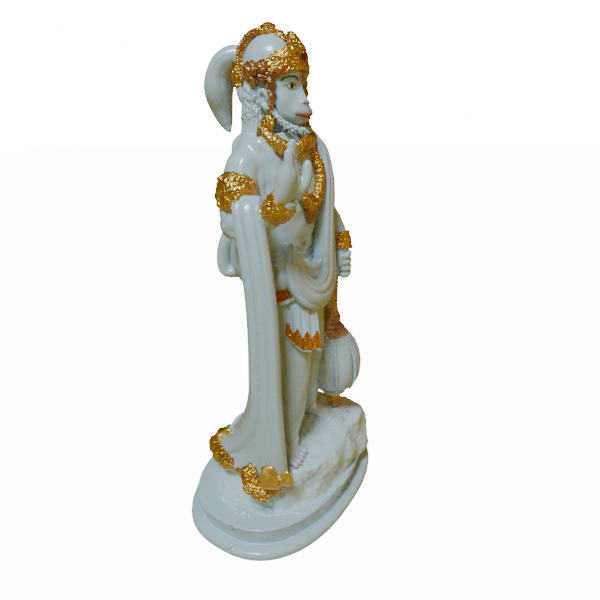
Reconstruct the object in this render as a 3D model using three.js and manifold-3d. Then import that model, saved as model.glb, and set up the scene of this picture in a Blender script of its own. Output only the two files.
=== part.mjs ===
// Standing monkey deity with mace, raised hand and long scarf: one casting with its rock and plinth.
// Frame: +Z up, the figure faces -Y, its right hand is towards -X, origin at the centre of the underside.
import * as THREE from 'three';
import { mergeVertices } from 'three/addons/utils/BufferGeometryUtils.js';
import Module from 'manifold-3d';

const wasm = await Module();
wasm.setup();

// Driving sizes in mm
const plinthLength = 154;
const plinthWidth = 109.6;
const plinthCorner = 2.42;
const footMouldHeight = 6;
const plinthWallHeight = 13;
const plinthStep = 5.5;
const plinthEdgeRound = 1.2;
const moundLength = 116;
const moundWidth = 94;
const moundHeight = 27;
const moundShift = 3;
const standRight = 1.2;
const standFront = 1;
const figureHeight = 254;
const scarfThickness = 5;
const sashThickness = 11;
const sashFolds = 3;
const scarfPleats = 3;
const maceRadius = 20.4;
const maceLobes = 8;
const maceHandleRadius = 5.6;
const tailRadius = 6.6;
const crownCrestWidth = 7;

// The figure's pose and carving are given in parts, of which 254 make its height
const partsInHeight = 254;
const part = figureHeight / partsInHeight;
const plinthTop = footMouldHeight + plinthWallHeight;
const soles = plinthTop + moundHeight;
const place = ([x, y, z]) => new THREE.Vector3(x * part + standRight, y * part - standFront, soles + z * part);

// Closed skin over rings that all have the same number of points, each end closed by a fan
function skin(rings) {
  const around = rings[0].length;
  const points = rings.flat();
  const faces = [];
  for (let i = 0; i + 1 < rings.length; i++) {
    for (let j = 0; j < around; j++) {
      const k = (j + 1) % around;
      const [a, b, c, d] = [i * around + j, i * around + k, (i + 1) * around + k, (i + 1) * around + j];
      faces.push(a, b, c, a, c, d);
    }
  }
  const ends = [[0, 1], [rings.length - 1, -1]];
  for (const [ring, turn] of ends) {
    const middle = new THREE.Vector3();
    rings[ring].forEach((p) => middle.addScaledVector(p, 1 / around));
    points.push(middle);
    for (let j = 0; j < around; j++) {
      const [a, b] = [ring * around + j, ring * around + (j + 1) % around];
      faces.push(points.length - 1, turn > 0 ? b : a, turn > 0 ? a : b);
    }
  }
  const geometry = new THREE.BufferGeometry();
  geometry.setAttribute('position', new THREE.Float32BufferAttribute(points.flatMap((p) => p.toArray()), 3));
  geometry.setIndex(faces);
  return geometry;
}

// Six times the volume that a closed mesh holds, below zero when its faces point inwards
function signedVolume(position, index) {
  const [a, b, c] = [new THREE.Vector3(), new THREE.Vector3(), new THREE.Vector3()];
  let total = 0;
  for (let i = 0; i < index.length; i += 3) {
    [a, b, c].forEach((v, n) => v.fromArray(position, index[i + n] * 3));
    total += a.dot(b.cross(c));
  }
  return total;
}

// A solid from a closed geometry
function solid(geometry) {
  const bare = geometry.clone();
  bare.deleteAttribute('normal');
  bare.deleteAttribute('uv');
  const merged = mergeVertices(bare, 1e-4);
  const vertProperties = new Float32Array(merged.attributes.position.array);
  const triVerts = new Uint32Array(merged.index.array);
  if (signedVolume(vertProperties, triVerts) < 0) {
    for (let i = 0; i < triVerts.length; i += 3) {
      [triVerts[i], triVerts[i + 1]] = [triVerts[i + 1], triVerts[i]];
    }
  }
  return new wasm.Manifold(new wasm.Mesh({ numProp: 3, vertProperties, triVerts }));
}

// Smooth value at share t of the way along a row of values
function along(values, t) {
  const span = values.length - 1;
  const i = Math.min(Math.floor(t * span), span - 1);
  const f = t * span - i;
  const at = (n) => values[Math.max(0, Math.min(span, n))];
  const [a, b, c, d] = [at(i - 1), at(i), at(i + 1), at(i + 2)];
  const bend = (2 * b) + (c - a) * f + (2 * a - 5 * b + 4 * c - d) * f * f;
  return 0.5 * (bend + (3 * b - a - 3 * c + d) * f * f * f);
}

const turnFrom = (a, b) => Math.atan2(Math.sin(a - b), Math.cos(a - b));
const bell = (x, middle, width) => Math.exp(-(((x - middle) / width) ** 2));

// An oval carried along a smooth path: wide is half its reach along across, deep half its other reach,
// and carve moves the surface out by parts at share t along and angle a around
function roll({ path, wide, deep = wide, across = [1, 0, 0], around = 12, steps = 10, carve = () => 0 }) {
  const curve = new THREE.CatmullRomCurve3(path.map((p) => (p.isVector3 ? p : place(p))));
  const side = new THREE.Vector3();
  const rings = [];
  for (let i = 0; i <= steps; i++) {
    const t = i / steps;
    const centre = curve.getPoint(t);
    const forward = curve.getTangent(t);
    side.fromArray(across).addScaledVector(forward, -forward.dot(side.fromArray(across))).normalize();
    const up = new THREE.Vector3().crossVectors(forward, side);
    const ring = [];
    for (let j = 0; j < around; j++) {
      const a = (j / around) * 2 * Math.PI;
      const out = carve(t, a) * part;
      const w = along(wide, t) * part + out;
      const d = along(deep, t) * part + out;
      ring.push(centre.clone().addScaledVector(side, w * Math.cos(a)).addScaledVector(up, d * Math.sin(a)));
    }
    rings.push(ring);
  }
  return solid(skin(rings));
}

// A ball or egg, with its reach in parts along each axis, moved out by carve at height h and angle a
function egg({ centre, reach, around = 12, bands = 8, carve = () => 0 }) {
  const rings = [];
  for (let i = 0; i <= bands; i++) {
    const lift = -Math.PI / 2 + ((i + 0.35) / (bands + 0.7)) * Math.PI;
    const ring = [];
    for (let j = 0; j < around; j++) {
      const a = (j / around) * 2 * Math.PI;
      const out = 1 + carve(Math.sin(lift), a);
      const flat = Math.cos(lift) * out;
      const [x, y, z] = [reach[0] * flat * Math.cos(a), reach[1] * flat * Math.sin(a), reach[2] * Math.sin(lift)];
      ring.push(place([centre[0] + x, centre[1] + y, centre[2] + z]));
    }
    rings.push(ring);
  }
  return solid(skin(rings));
}

// A cloth with a face and a back: point(s, t) for s across and t along, thick mm along inward(t)
function cloth({ point, thick, across, steps, inward }) {
  const rings = [];
  for (let i = 0; i <= steps; i++) {
    const t = i / steps;
    const through = new THREE.Vector3(...inward(t)).setLength(thick);
    const face = [];
    const back = [];
    for (let j = 0; j <= across; j++) {
      const p = point(j / across, t);
      face.push(p);
      back.unshift(p.clone().add(through));
    }
    rings.push([...face, ...back]);
  }
  return solid(skin(rings));
}

// Bar-shaped outline with rounded ends, counter-clockwise
function plinthRing(inset, z, count) {
  const ring = [];
  for (let j = 0; j < count; j++) {
    const a = (j / count) * 2 * Math.PI;
    const round = (v) => Math.sign(v) * Math.abs(v) ** (2 / plinthCorner);
    const x = (plinthLength / 2 - inset) * round(Math.cos(a));
    const y = (plinthWidth / 2 - inset) * round(Math.sin(a));
    ring.push(new THREE.Vector3(x, y, z));
  }
  return ring;
}

// Plinth: a rounded foot moulding, a step, and a straight wall with a softened upper edge
function plinth() {
  const sides = 36;
  const profile = [
    [plinthEdgeRound, 0],
    [0, 0.35 * footMouldHeight],
    [0.3 * plinthStep, 0.92 * footMouldHeight],
    [plinthStep, 1.15 * footMouldHeight],
    [plinthStep, plinthTop - plinthEdgeRound],
    [plinthStep + plinthEdgeRound, plinthTop],
  ];
  return solid(skin(profile.map(([inset, z]) => plinthRing(inset, z, sides))));
}

// Point on the rock mound at angle a around and share level of its height, out mm proud of it
const moundCorner = -0.7;
const moundLowSide = 2.3;
function moundPoint(a, level, out = 0) {
  const [c, s] = [Math.cos(a), Math.sin(a)];
  const round = (v) => Math.sign(v) * Math.abs(v) ** 0.84;
  const height = Math.min(Math.max(level, 0), 1);
  const slope = 0.15 * Math.max(0, -c) ** 2 + 0.14 * Math.max(0, s) ** 2;
  const drop = 1.6 * Math.max(0, c) ** 3 + 3 * Math.max(0, Math.cos(a - moundLowSide)) ** 3;
  const corner = 1 + 0.2 * bell(turnFrom(a, moundCorner), 0, 0.45);
  const lump = 0.02 * Math.sin(5 * a + 5 * level) + 0.014 * Math.sin(11 * a - 7 * level);
  const reach = ((1 - height ** 30) ** 0.2 - slope * height + lump * (1 - height ** 6)) * corner;
  return new THREE.Vector3(
    moundShift + (moundLength / 2) * reach * round(c) + out * c,
    (moundWidth / 2) * reach * round(s) + out * s,
    plinthTop + moundHeight * level - height * drop,
  );
}

// Rock mound: steep lumpy sides and a nearly flat top, sunk a little into the plinth
function mound() {
  const sides = 32;
  const levels = [-0.1, 0.2, 0.55, 0.9, 0.99];
  const turn = (j) => (j / sides) * 2 * Math.PI;
  const ring = (level) => Array.from({ length: sides }, (_, j) => moundPoint(turn(j), level));
  const crown = ring(0.99).map((p) => new THREE.Vector3(p.x * 0.5, p.y * 0.5, soles));
  return solid(skin([...levels.map(ring), crown]));
}

// Leg from hip to ankle, and a foot with its toes
function leg({ hip, knee, calf, ankle, heel, toes, spread }) {
  const shank = roll({
    path: [hip, knee, calf, ankle, [ankle[0], ankle[1] + 1, -1]],
    wide: [13.5, 9.8, 8.8, 5, 5.6],
    deep: [14, 10, 9, 5.4, 6.5],
    around: 8,
    steps: 5,
  });
  const foot = roll({
    path: [heel, [(heel[0] + toes[0]) / 2, (heel[1] + toes[1]) / 2, 3.4], toes],
    wide: [4.5, 5.6, 7],
    deep: [5, 4.6, 2.4],
    around: 7,
    steps: 3,
  });
  const parts = [shank, foot];
  for (let n = 0; n < 5; n++) {
    const offset = (n - 2) * 2.9;
    const reach = 4.4 - 0.5 * Math.abs(n - 2 - 1.2 * spread);
    const root = [toes[0] + offset, toes[1] + 2, 1.3];
    const tip = [toes[0] + offset + 0.6 * spread, toes[1] - reach, 0.6];
    parts.push(roll({ path: [root, tip], wide: [1.7, 1.3], around: 4, steps: 1 }));
  }
  return parts;
}

const legs = [
  ...leg({
    hip: [-11, -4, 100], knee: [-9, -17.5, 62], calf: [-14.5, -17.3, 36], ankle: [-19.5, -15, 9],
    heel: [-18, -9, 2.5], toes: [-26, -26, 1.8], spread: -1,
  }),
  ...leg({
    hip: [14, -4, 100], knee: [15.5, -8.5, 64], calf: [19, -6.5, 34], ankle: [21.5, -5, 9],
    heel: [21, 1, 2.5], toes: [28, -25, 1.8], spread: 1,
  }),
];

// Trunk from the hips to the neck
const trunk = roll({
  path: [[0, 0, 108], [0, 0.5, 120], [0, -2.5, 135], [0, -3, 150], [0, -2, 166], [0, 4, 196], [0, 4, 206]],
  wide: [22, 24, 20, 21.5, 24, 14, 9.5],
  deep: [15.5, 17, 15.6, 17, 16, 10, 9.5],
  around: 10,
  steps: 6,
});

// Short wrap around the hips and thighs with upright folds and a turned hem
const wrapFolds = 9;
const wrap = roll({
  path: [[0, 0, 127], [0, 0, 119], [-0.5, -1.5, 109], [0, -2.5, 108], [0.8, -3.5, 99.5]],
  wide: [20.5, 25, 27.5, 28.8, 30.4],
  deep: [15.5, 18, 19, 20, 20.6],
  around: 2 * wrapFolds,
  steps: 4,
  carve: (t, a) => 0.2 + 0.8 * t * Math.cos(wrapFolds * a),
});

// Fan of knife pleats that falls in front of the right thigh, wider towards its stepped hem
const fanPleats = 4;
const fan = cloth({
  point: (s, t) => {
    const fold = 2 * Math.abs(((s * fanPleats) % 1) - 0.5);
    const x = -3.5 - 6 * t + (2 * s - 1) * (8.5 + 5.5 * t);
    const y = -18.5 - 1.5 * t - (5 + 3 * t) * s - 2 * fold * t;
    return place([x, y, 104 - t * (32 + 7 * Math.sin(Math.PI * Math.min(1, 0.3 + s)))]);
  },
  thick: 9,
  across: 2 * fanPleats,
  steps: 1,
  inward: () => [0.5, 1, 0],
});

// Shawl over the shoulders, chest and back
const shawl = roll({
  path: [[0, -1, 150], [0, -0.5, 160], [0, 1, 174], [0, 4.5, 186], [0, 8, 194.5], [0, 8, 201]],
  wide: [23, 27, 29, 29.5, 24, 11],
  deep: [17, 19, 20, 20, 19.5, 11],
  around: 12,
  steps: 5,
});

// Right arm: raised hand, palm to the front
const rightUpperArm = roll({
  path: [[-21, 4.4, 187], [-27.2, 5.2, 181], [-34, 5, 168], [-38.5, 5.5, 155], [-39.5, 1, 149]],
  wide: [7, 9.8, 9.8, 9.6, 7],
  across: [0, 1, 0],
  around: 8,
  steps: 5,
});
const rightForearm = roll({
  path: [[-39, 9, 151], [-39.5, -8, 154.5], [-38, -26, 162], [-37, -30, 168]],
  wide: [6, 8, 6, 5.6],
  around: 8,
  steps: 3,
});
const rightPalm = roll({
  path: [[-37, -29, 164], [-36.5, -31, 171], [-36.5, -31.5, 182]],
  wide: [5.6, 7.4, 7.4],
  deep: [4.6, 3.8, 3],
  around: 7,
  steps: 2,
});
const fingers = [];
const fingerWidth = 3.7;
for (let n = 0; n < 4; n++) {
  const x = -42 + n * fingerWidth;
  const tip = 195 - 1.6 * Math.abs(n - 1.6);
  fingers.push(roll({ path: [[x, -31, 178], [x, -31.6, 187], [x, -31, tip]], wide: [2.1, 2, 1], around: 4, steps: 2 }));
}
const rightThumb = roll({
  path: [[-31.5, -31.5, 168], [-29, -33, 177], [-27.5, -33.5, 186]],
  wide: [3, 2.5, 1.4],
  around: 5,
  steps: 2,
});

// Left arm: hangs down with the hand closed over the top of the mace
const leftArm = roll({
  path: [[22, 3, 186], [28, 4, 181], [36, 2, 168], [41, -3, 153], [42.5, -11.5, 140], [42, -17, 130], [39, -18.5, 118]],
  wide: [7, 9.6, 9.6, 8.4, 7.8, 7, 7],
  across: [0, 1, 0],
  around: 8,
  steps: 6,
});
const leftHand = egg({ centre: [39, -18.5, 115], reach: [7, 7.6, 11], around: 8, bands: 4 });
const leftFingers = [];
for (let n = 0; n < 4; n++) {
  const z = 122 - n * 4.2;
  leftFingers.push(roll({
    path: [[43.5, -20.5, z], [40, -26.4, z - 0.8], [34, -25, z - 1.4]],
    wide: [2.3, 2.4, 1.8],
    across: [0, 0, 1],
    around: 4,
    steps: 2,
  }));
}

// Bands on the arms: a flared armlet on the right, cuffs on the wrists
const armlet = roll({
  path: [[-32.5, 5, 178.5], [-34.8, 5, 171], [-37, 4.5, 162]],
  wide: [9.4, 12, 10.8],
  across: [0, 1, 0],
  around: 10,
  steps: 3,
});
const rightCuff = roll({
  path: [[-38.6, -19, 159.5], [-38.2, -24, 161.5], [-37.8, -29, 164.5]],
  wide: [8.2, 7.2, 8.8],
  around: 8,
  steps: 2,
});
const leftCuff = roll({
  path: [[42.6, -13.5, 136.5], [42.4, -16, 131.5], [41.4, -17.5, 126.5]],
  wide: [9.6, 8.2, 9.6],
  around: 8,
  steps: 2,
});

// Sash: a broad band of folds from the left shoulder down to the thighs and up to the right hip
const sashWay = new THREE.CatmullRomCurve3([
  [18, 14, 192.5], [20.6, 0, 195.6], [23, -14, 190.5], [21.5, -21, 174], [18.5, -23.5, 150], [16.5, -24, 128],
  [11, -24.5, 111], [2, -22.5, 105.5], [-7, -20.5, 110], [-13.5, -18.5, 122], [-17, -16.5, 138], [-21, -9, 150],
].map((p) => new THREE.Vector3(...p)));
const sashHalfWidth = [7, 7, 7, 7, 7, 8, 10.5, 11.5, 10.5, 8, 6, 5];
const sash = (() => {
  const steps = 15;
  const across = 2 * sashFolds + 1;
  const rings = [];
  for (let i = 0; i <= steps; i++) {
    const t = i / steps;
    const centre = sashWay.getPoint(t);
    const forward = sashWay.getTangent(t);
    const out = new THREE.Vector3(centre.x * 0.35, centre.y, 0).normalize();
    const sideways = new THREE.Vector3().crossVectors(forward, out).normalize();
    const face = new THREE.Vector3().crossVectors(sideways, forward).normalize();
    const half = along(sashHalfWidth, t);
    const ring = [];
    for (let j = 0; j <= across; j++) {
      const s = (2 * j) / across - 1;
      const bulge = 1.1 * (1 - s ** 4) + 0.8 * Math.cos((sashFolds + 1) * Math.PI * s);
      ring.push(centre.clone().addScaledVector(sideways, s * half).addScaledVector(face, bulge));
    }
    ring.push(centre.clone().addScaledVector(sideways, half * 0.9).addScaledVector(face, -sashThickness / part));
    ring.push(centre.clone().addScaledVector(sideways, -half * 0.9).addScaledVector(face, -sashThickness / part));
    rings.push(ring.map((p) => place(p.toArray())));
  }
  return solid(skin(rings));
})();

// Scarf over the right forearm: a long pleated fall, then a spread over the end of the rock to its hem
const scarfFall = {
  centre: [-4, -9, -12, -17, -19, -19, -18.5, -18, -17.5],
  half: [6, 8, 9.5, 11.5, 11.7, 11.6, 12, 12.5, 13],
  out: [-30, -39, -46, -48, -48.5, -49, -49.5, -50, -50],
  height: [163, 168, 160, 138, 112, 86, 60, 34, 10],
};
const hemStart = 1.95;
const hemEnd = 3.85;
const hemLevels = [0.94, 0.8, 0.56, 0.44, 0.37, 0.22, 0.3, 0.52, 0.7];
const hemAngle = (s) => hemStart + (hemEnd - hemStart) * s;
const scarfSteps = 12;
const fallSteps = 8;
function scarfPoint(s, t) {
  const pleat = Math.cos(2 * Math.PI * scarfPleats * s);
  const step = t * scarfSteps;
  const fall = Math.min(1, step / fallSteps);
  const column = place([
    along(scarfFall.out, fall) - 1.1 * pleat * Math.min(1, 5 * t) - 1.5 * Math.sin(Math.PI * s),
    along(scarfFall.centre, fall) + (1 - 2 * s) * along(scarfFall.half, fall),
    along(scarfFall.height, fall),
  ]);
  if (fall < 1) return column;
  const spread = (step - fallSteps) / (scarfSteps - fallSteps);
  const level = 0.94 + (along(hemLevels, s) - 0.94) * spread;
  const foot = 3.05 + 0.65 * s;
  return column.lerp(moundPoint(foot + (hemAngle(s) - foot) * spread, level, 2.4 + pleat), Math.min(1, 2 * spread));
}
const scarf = cloth({
  point: scarfPoint,
  thick: scarfThickness,
  across: 2 * scarfPleats,
  steps: scarfSteps,
  inward: (t) => [Math.min(1, 4 * t), 0, -Math.max(0, 1 - 4 * t)],
});
const hem = roll({
  path: hemLevels.map((level, n) => moundPoint(hemAngle(n / (hemLevels.length - 1)), level, 2)),
  wide: [1.8, 2.4, 2.8, 2.6, 3.4, 4.8, 5.4, 4.4, 2.6],
  deep: [1.8, 2.2, 2.4, 2.4, 2.6, 3, 3.4, 3, 2],
  across: [0, 0, 1],
  around: 5,
  steps: 12,
  carve: (t) => 0.5 * Math.cos(12 * Math.PI * t),
});
const hemLeaves = [[3.36, 0.72, 3.6, 6], [3.68, 0.66, 4.6, 4]].map(([angle, level, wide, tall]) => {
  const foot = moundPoint(angle, level - tall / moundHeight, 2.5);
  const tip = moundPoint(angle, level + tall / moundHeight, 1);
  return roll({
    path: [foot, foot.clone().lerp(tip, 0.5), tip],
    wide: [2, wide, 2],
    deep: [1.4, 2, 1.2],
    across: [0, 1, 0],
    around: 6,
    steps: 3,
  });
});

// Tail: drops behind the hips, bends up the back to a fluted ring, and ends in a falling tuft
const tail = roll({
  path: [
    [0, 8, 130], [-7, 24, 117], [-14.5, 32, 116.5], [-15.5, 32.5, 128], [-11, 27, 146],
    [-4, 22, 164], [-1, 20.5, 184], [0, 15, 204], [0, 17, 212.5], [0, 25.5, 219.5], [0, 28.5, 227],
  ],
  wide: [7, 7, 7, tailRadius, tailRadius, 6.2, 6, 5.6, 5.4, 5.2, 5],
  around: 6,
  steps: 14,
});
const tailRing = roll({
  path: [[0, 28.2, 224], [0, 28, 231], [0, 27.8, 239]],
  wide: [5.6, 6.4, 6],
  around: 8,
  steps: 2,
});
const tuft = roll({
  path: [
    [0, 27, 236], [0, 30.5, 239.5], [0, 36, 236.5], [0, 41.5, 230], [0, 44, 221], [0, 43.4, 212],
    [0, 41, 204], [0, 38.6, 199],
  ],
  wide: [4.8, 6.4, 7.2, 7.8, 8, 7, 4.4, 0.8],
  deep: [4.8, 5.2, 5.8, 6.8, 7.6, 6.8, 4.2, 0.8],
  around: 8,
  steps: 7,
});

// Head: a long egg with a muzzle, brows and cheeks, each a soft rise of the surface
const front = 1.5 * Math.PI;
const head = egg({
  centre: [0, 1, 223],
  reach: [14.6, 16.2, 23.5],
  around: 12,
  bands: 11,
  carve: (h, a) => {
    const off = turnFrom(a, front);
    const muzzle = 0.72 * bell(h, -0.52, 0.2) * bell(off, 0, 0.5);
    const nose = 0.12 * bell(h, -0.24, 0.14) * bell(off, 0, 0.25);
    const brow = 0.05 * bell(h, 0.05, 0.1) * bell(Math.abs(off), 0.45, 0.35);
    const cheek = 0.06 * bell(h, -0.4, 0.2) * bell(Math.abs(off), 0.9, 0.35);
    const chin = 0.5 * bell(h, -0.93, 0.14) * bell(off, 0, 0.6);
    return muzzle + nose + brow + cheek + chin;
  },
});

// Hair: a mass behind the ears that falls to the shoulders
const hair = roll({
  path: [[0, 9, 190], [0, 9, 201], [0, 8.5, 212], [0, 8, 226], [0, 7, 238]],
  wide: [19, 16, 15.2, 15, 11],
  deep: [14, 13, 13, 13.6, 11],
  around: 10,
  steps: 4,
});
const ears = [-1, 1].flatMap((side) => [
  egg({ centre: [side * 15.4, -0.5, 215], reach: [2.4, 3.6, 6.5], around: 6, bands: 3 }),
  egg({ centre: [side * 17, -4, 202.6], reach: [4.2, 5.2, 5.4], around: 7, bands: 4 }),
]);

// Crown: brow band, pointed front, dome, crest over the middle with a stepped knob, side rosettes
const crownBand = roll({
  path: [[0, 2, 223], [0, 1, 229], [0, 1.5, 235]],
  wide: [16, 17.2, 16.2],
  deep: [17.6, 18.8, 18],
  around: 14,
  steps: 2,
});
const crownFront = roll({
  path: [[0, -13, 228], [0, -13.8, 233], [0, -13, 239], [0, -9, 247.2]],
  wide: [12.5, 11.5, 8, 1.2],
  deep: [3.2, 4, 3.6, 1.4],
  around: 8,
  steps: 4,
});
const crownDome = egg({ centre: [0, 4.6, 232], reach: [14.4, 16, 16.8], around: 12, bands: 5 });
const crest = roll({
  path: [
    [0, -8, 243], [0, -3, 247.4], [0, 4, 249.9], [0, 13.6, 249.6], [0, 21.2, 243.6], [0, 23.8, 234], [0, 22.6, 224],
  ],
  wide: [2.4, 3.1, crownCrestWidth / 2, crownCrestWidth / 2, crownCrestWidth / 2, crownCrestWidth / 2, 3.2],
  deep: [1.6, 2, 2.4, 2.6, 2.6, 2.4, 2],
  around: 5,
  steps: 8,
});
const crownKnob = roll({
  path: [[0, 5.5, 248.4], [0, 5.5, 250.4], [0, 5.5, 250.6], [0, 5.8, 252.6], [0, 6, 254]],
  wide: [6.4, 6, 4.6, 3.8, 1.8],
  deep: [7.4, 6.8, 4.6, 3.8, 1.8],
  around: 7,
  steps: 4,
});
const crestBoss = egg({ centre: [0, 23.4, 241], reach: [3.6, 3, 3.4], around: 6, bands: 3 });
const rosettes = [-1, 1].flatMap((side) => {
  const bow = egg({
    centre: [side * 16.4, 3, 228.5],
    reach: [4, 8.6, 6.4],
    around: 8,
    bands: 4,
  });
  const strand = roll({
    path: [[side * 16, -6.5, 228], [side * 16.6, -7, 221], [side * 16, -6.5, 213]],
    wide: [2, 1.9, 1.6],
    around: 4,
    steps: 2,
  });
  return [bow, strand];
});

// Collar, long garland and pendant on the chest
const collar = roll({
  path: [[-17, 4, 198], [-14, -8, 193.5], [-6, -15.5, 188], [6, -15.5, 188], [14, -8, 193.5], [17, 4, 198]],
  wide: [3, 4, 4.6, 4.6, 4, 3],
  deep: [2.4, 2.6, 2.6, 2.6, 2.6, 2.4],
  across: [0, -0.5, 1],
  around: 4,
  steps: 7,
});
const garland = roll({
  path: [
    [-12, -12, 192], [-12, -18.5, 178], [-9, -20.6, 162], [0, -20.6, 152], [9, -20.8, 162],
    [12, -19.5, 178], [12, -12, 192],
  ],
  wide: [2.6, 2.8, 2.8, 2.8, 2.8, 2.8, 2.6],
  across: [0, -1, 0],
  around: 4,
  steps: 14,
  carve: (t) => 0.4 * Math.cos(14 * Math.PI * t),
});
const pendant = egg({ centre: [1, -19.4, 152], reach: [5.6, 3.4, 9], around: 6, bands: 4 });

// Mace: turned handle with rings and a flared collar, a lobed head and a round foot
const maceTop = 112;
const maceLean = 5.4;
const maceProfile = [
  [0, 0], [3.4, 2], [5.6, 6.5], [4.8, 12], [9, 15], [9.6, 18], [15.4, 22.5], [19.2, 29.5], [maceRadius, 38],
  [18.6, 47], [14.6, 54.5], [11, 58.5], [11, 61.5], [maceHandleRadius, 68], [maceHandleRadius + 0.6, 75],
  [maceHandleRadius - 0.8, 81], [maceHandleRadius - 1.2, maceTop], [0, maceTop],
];
const lobeTop = 58.5;
const lobeFoot = 18;
const mace = (() => {
  const points = maceProfile.map(([r, z]) => new THREE.Vector2(r * part, z * part));
  const turned = new THREE.LatheGeometry(points, 2 * maceLobes);
  const position = turned.attributes.position;
  for (let i = 0; i < position.count; i++) {
    const [x, z, y] = [position.getX(i), position.getY(i), -position.getZ(i)];
    const height = z / part;
    const inHead = Math.sin((Math.PI * (height - lobeFoot)) / (lobeTop - lobeFoot));
    const groove = Math.cos(maceLobes * Math.atan2(x, y)) < 0 ? 1 - 0.06 * Math.max(0, inHead) : 1;
    const stand = place([37.4, -18.7 + (maceLean * height) / maceTop, height]);
    position.setXYZ(i, x * groove + stand.x, y * groove + stand.y, stand.z);
  }
  return solid(turned);
})();

// Everything is one casting
const pieces = [
  plinth(), mound(), ...legs, trunk, wrap, fan, shawl, rightUpperArm, rightForearm, rightPalm,
  ...fingers, rightThumb, leftArm, leftHand, ...leftFingers, armlet, rightCuff, leftCuff, sash, scarf,
  hem, ...hemLeaves, tail, tailRing, tuft, head, hair, ...ears, crownBand, crownFront, crownDome,
  crest, crownKnob, crestBoss, ...rosettes, collar, garland, pendant, mace,
];
const casting = pieces.reduce((whole, piece) => whole.add(piece));

// The faces of a solid's outer skin, without the skins of hollows that the joined forms close off
function outerSkin(position, index) {
  const root = Array.from({ length: position.length / 3 }, (_, i) => i);
  const find = (i) => {
    while (root[i] !== i) {
      root[i] = root[root[i]];
      i = root[i];
    }
    return i;
  };
  for (let i = 0; i < index.length; i += 3) {
    root[find(index[i + 1])] = find(index[i]);
    root[find(index[i + 2])] = find(index[i]);
  }
  const skins = new Map();
  for (let i = 0; i < index.length; i += 3) {
    const key = find(index[i]);
    if (!skins.has(key)) skins.set(key, []);
    skins.get(key).push(index[i], index[i + 1], index[i + 2]);
  }
  return [...skins.values()].reduce((a, b) => (signedVolume(position, a) > signedVolume(position, b) ? a : b));
}

// A mesh from a solid
function mesh(name, body, material) {
  const { vertProperties, triVerts } = body.getMesh();
  const geometry = new THREE.BufferGeometry();
  geometry.setAttribute('position', new THREE.BufferAttribute(vertProperties, 3));
  geometry.setIndex(outerSkin(vertProperties, triVerts));
  geometry.computeVertexNormals();
  const named = new THREE.Mesh(geometry, material);
  named.name = name;
  return named;
}

const glazedWhite = new THREE.MeshStandardMaterial({ color: 0xd7dfe2, roughness: 0.25, metalness: 0 });
const figure = new THREE.Group();
figure.add(mesh('hanuman_figure', casting, glazedWhite));
export default figure;
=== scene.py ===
import math
from math import radians

import bpy
import numpy as np
from mathutils import Matrix, Vector
from numpy import arange, array, clip, concatenate, cos, cross, hypot, interp, linspace
from numpy import maximum, minimum, ones, pi, sin, sqrt, zeros


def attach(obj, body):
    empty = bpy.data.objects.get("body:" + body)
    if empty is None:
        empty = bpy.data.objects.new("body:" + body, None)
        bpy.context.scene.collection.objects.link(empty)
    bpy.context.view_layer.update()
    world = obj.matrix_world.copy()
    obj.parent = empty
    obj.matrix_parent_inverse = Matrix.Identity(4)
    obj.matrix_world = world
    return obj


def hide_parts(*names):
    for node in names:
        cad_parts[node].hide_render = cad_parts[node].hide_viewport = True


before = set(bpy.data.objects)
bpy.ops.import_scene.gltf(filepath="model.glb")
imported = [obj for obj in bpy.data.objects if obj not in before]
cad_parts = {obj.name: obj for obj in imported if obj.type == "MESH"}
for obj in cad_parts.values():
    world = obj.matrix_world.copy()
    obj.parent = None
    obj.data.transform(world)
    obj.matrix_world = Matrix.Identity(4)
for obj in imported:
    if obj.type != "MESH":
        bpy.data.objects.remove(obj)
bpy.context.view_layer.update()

# Every shape is worked out in millimetres from the middle of the soles, then set on its plinth
MM = 0.001
STAND = array([1.2, -1, 46])
PLINTH_TOP = 19
ROCK_HEIGHT = 27
PLINTH_LENGTH, PLINTH_WIDTH, PLINTH_CORNER, PLINTH_STEP = 154, 109.6, 2.42, 5.5
ROCK_LENGTH, ROCK_WIDTH, ROCK_SHIFT = 116, 94, 3
TAU = 2 * pi
ROOT_NODE = "hanuman_figure"
PLAIN = lambda *_: 0
rng = np.random.default_rng(7)


# Working tools for smooth paths and skins

def turns(n):
    """n even angles round a full turn."""
    return arange(n) / n * TAU


def points(x, y, z):
    return np.stack([x, y, z], -1)


def grid(rows, columns):
    return np.meshgrid(rows, columns, indexing="ij")


def unit(v):
    """The vectors at length one."""
    return v / maximum(np.linalg.norm(v, axis=-1, keepdims=True), 1e-9)


def curve(way, t):
    """Smooth path through the points: on each span the cubic whose end slopes are the points' own chord slopes,
    each chord weighed by the square root of its length."""
    p = np.asarray(way, float)
    p = np.vstack([2 * p[0] - p[1], p, 2 * p[-1] - p[-2]])
    u = clip(t, 0, 1) * (len(p) - 3)
    i = minimum(u.astype(int), len(p) - 4)
    f = (u - i)[..., None]
    a, b, c, d = p[i], p[i + 1], p[i + 2], p[i + 3]
    chord = [maximum(np.linalg.norm(y - x, axis=-1, keepdims=True), 1e-6) ** 0.5 for x, y in ((a, b), (b, c), (c, d))]
    m = ((b - a) / chord[0] - (c - a) / (chord[0] + chord[1]) + (c - b) / chord[1]) * chord[1]
    n = ((c - b) / chord[1] - (d - b) / (chord[1] + chord[2]) + (d - c) / chord[2]) * chord[1]
    return b + m * f + (3 * (c - b) - 2 * m - n) * f ** 2 + (2 * (b - c) + m + n) * f ** 3


def heading(way, t, gap):
    """Direction of the path at t, from a gap before it to a gap after it."""
    return unit(curve(way, minimum(t + gap, 1)) - curve(way, maximum(t - gap, 0)))


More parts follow.
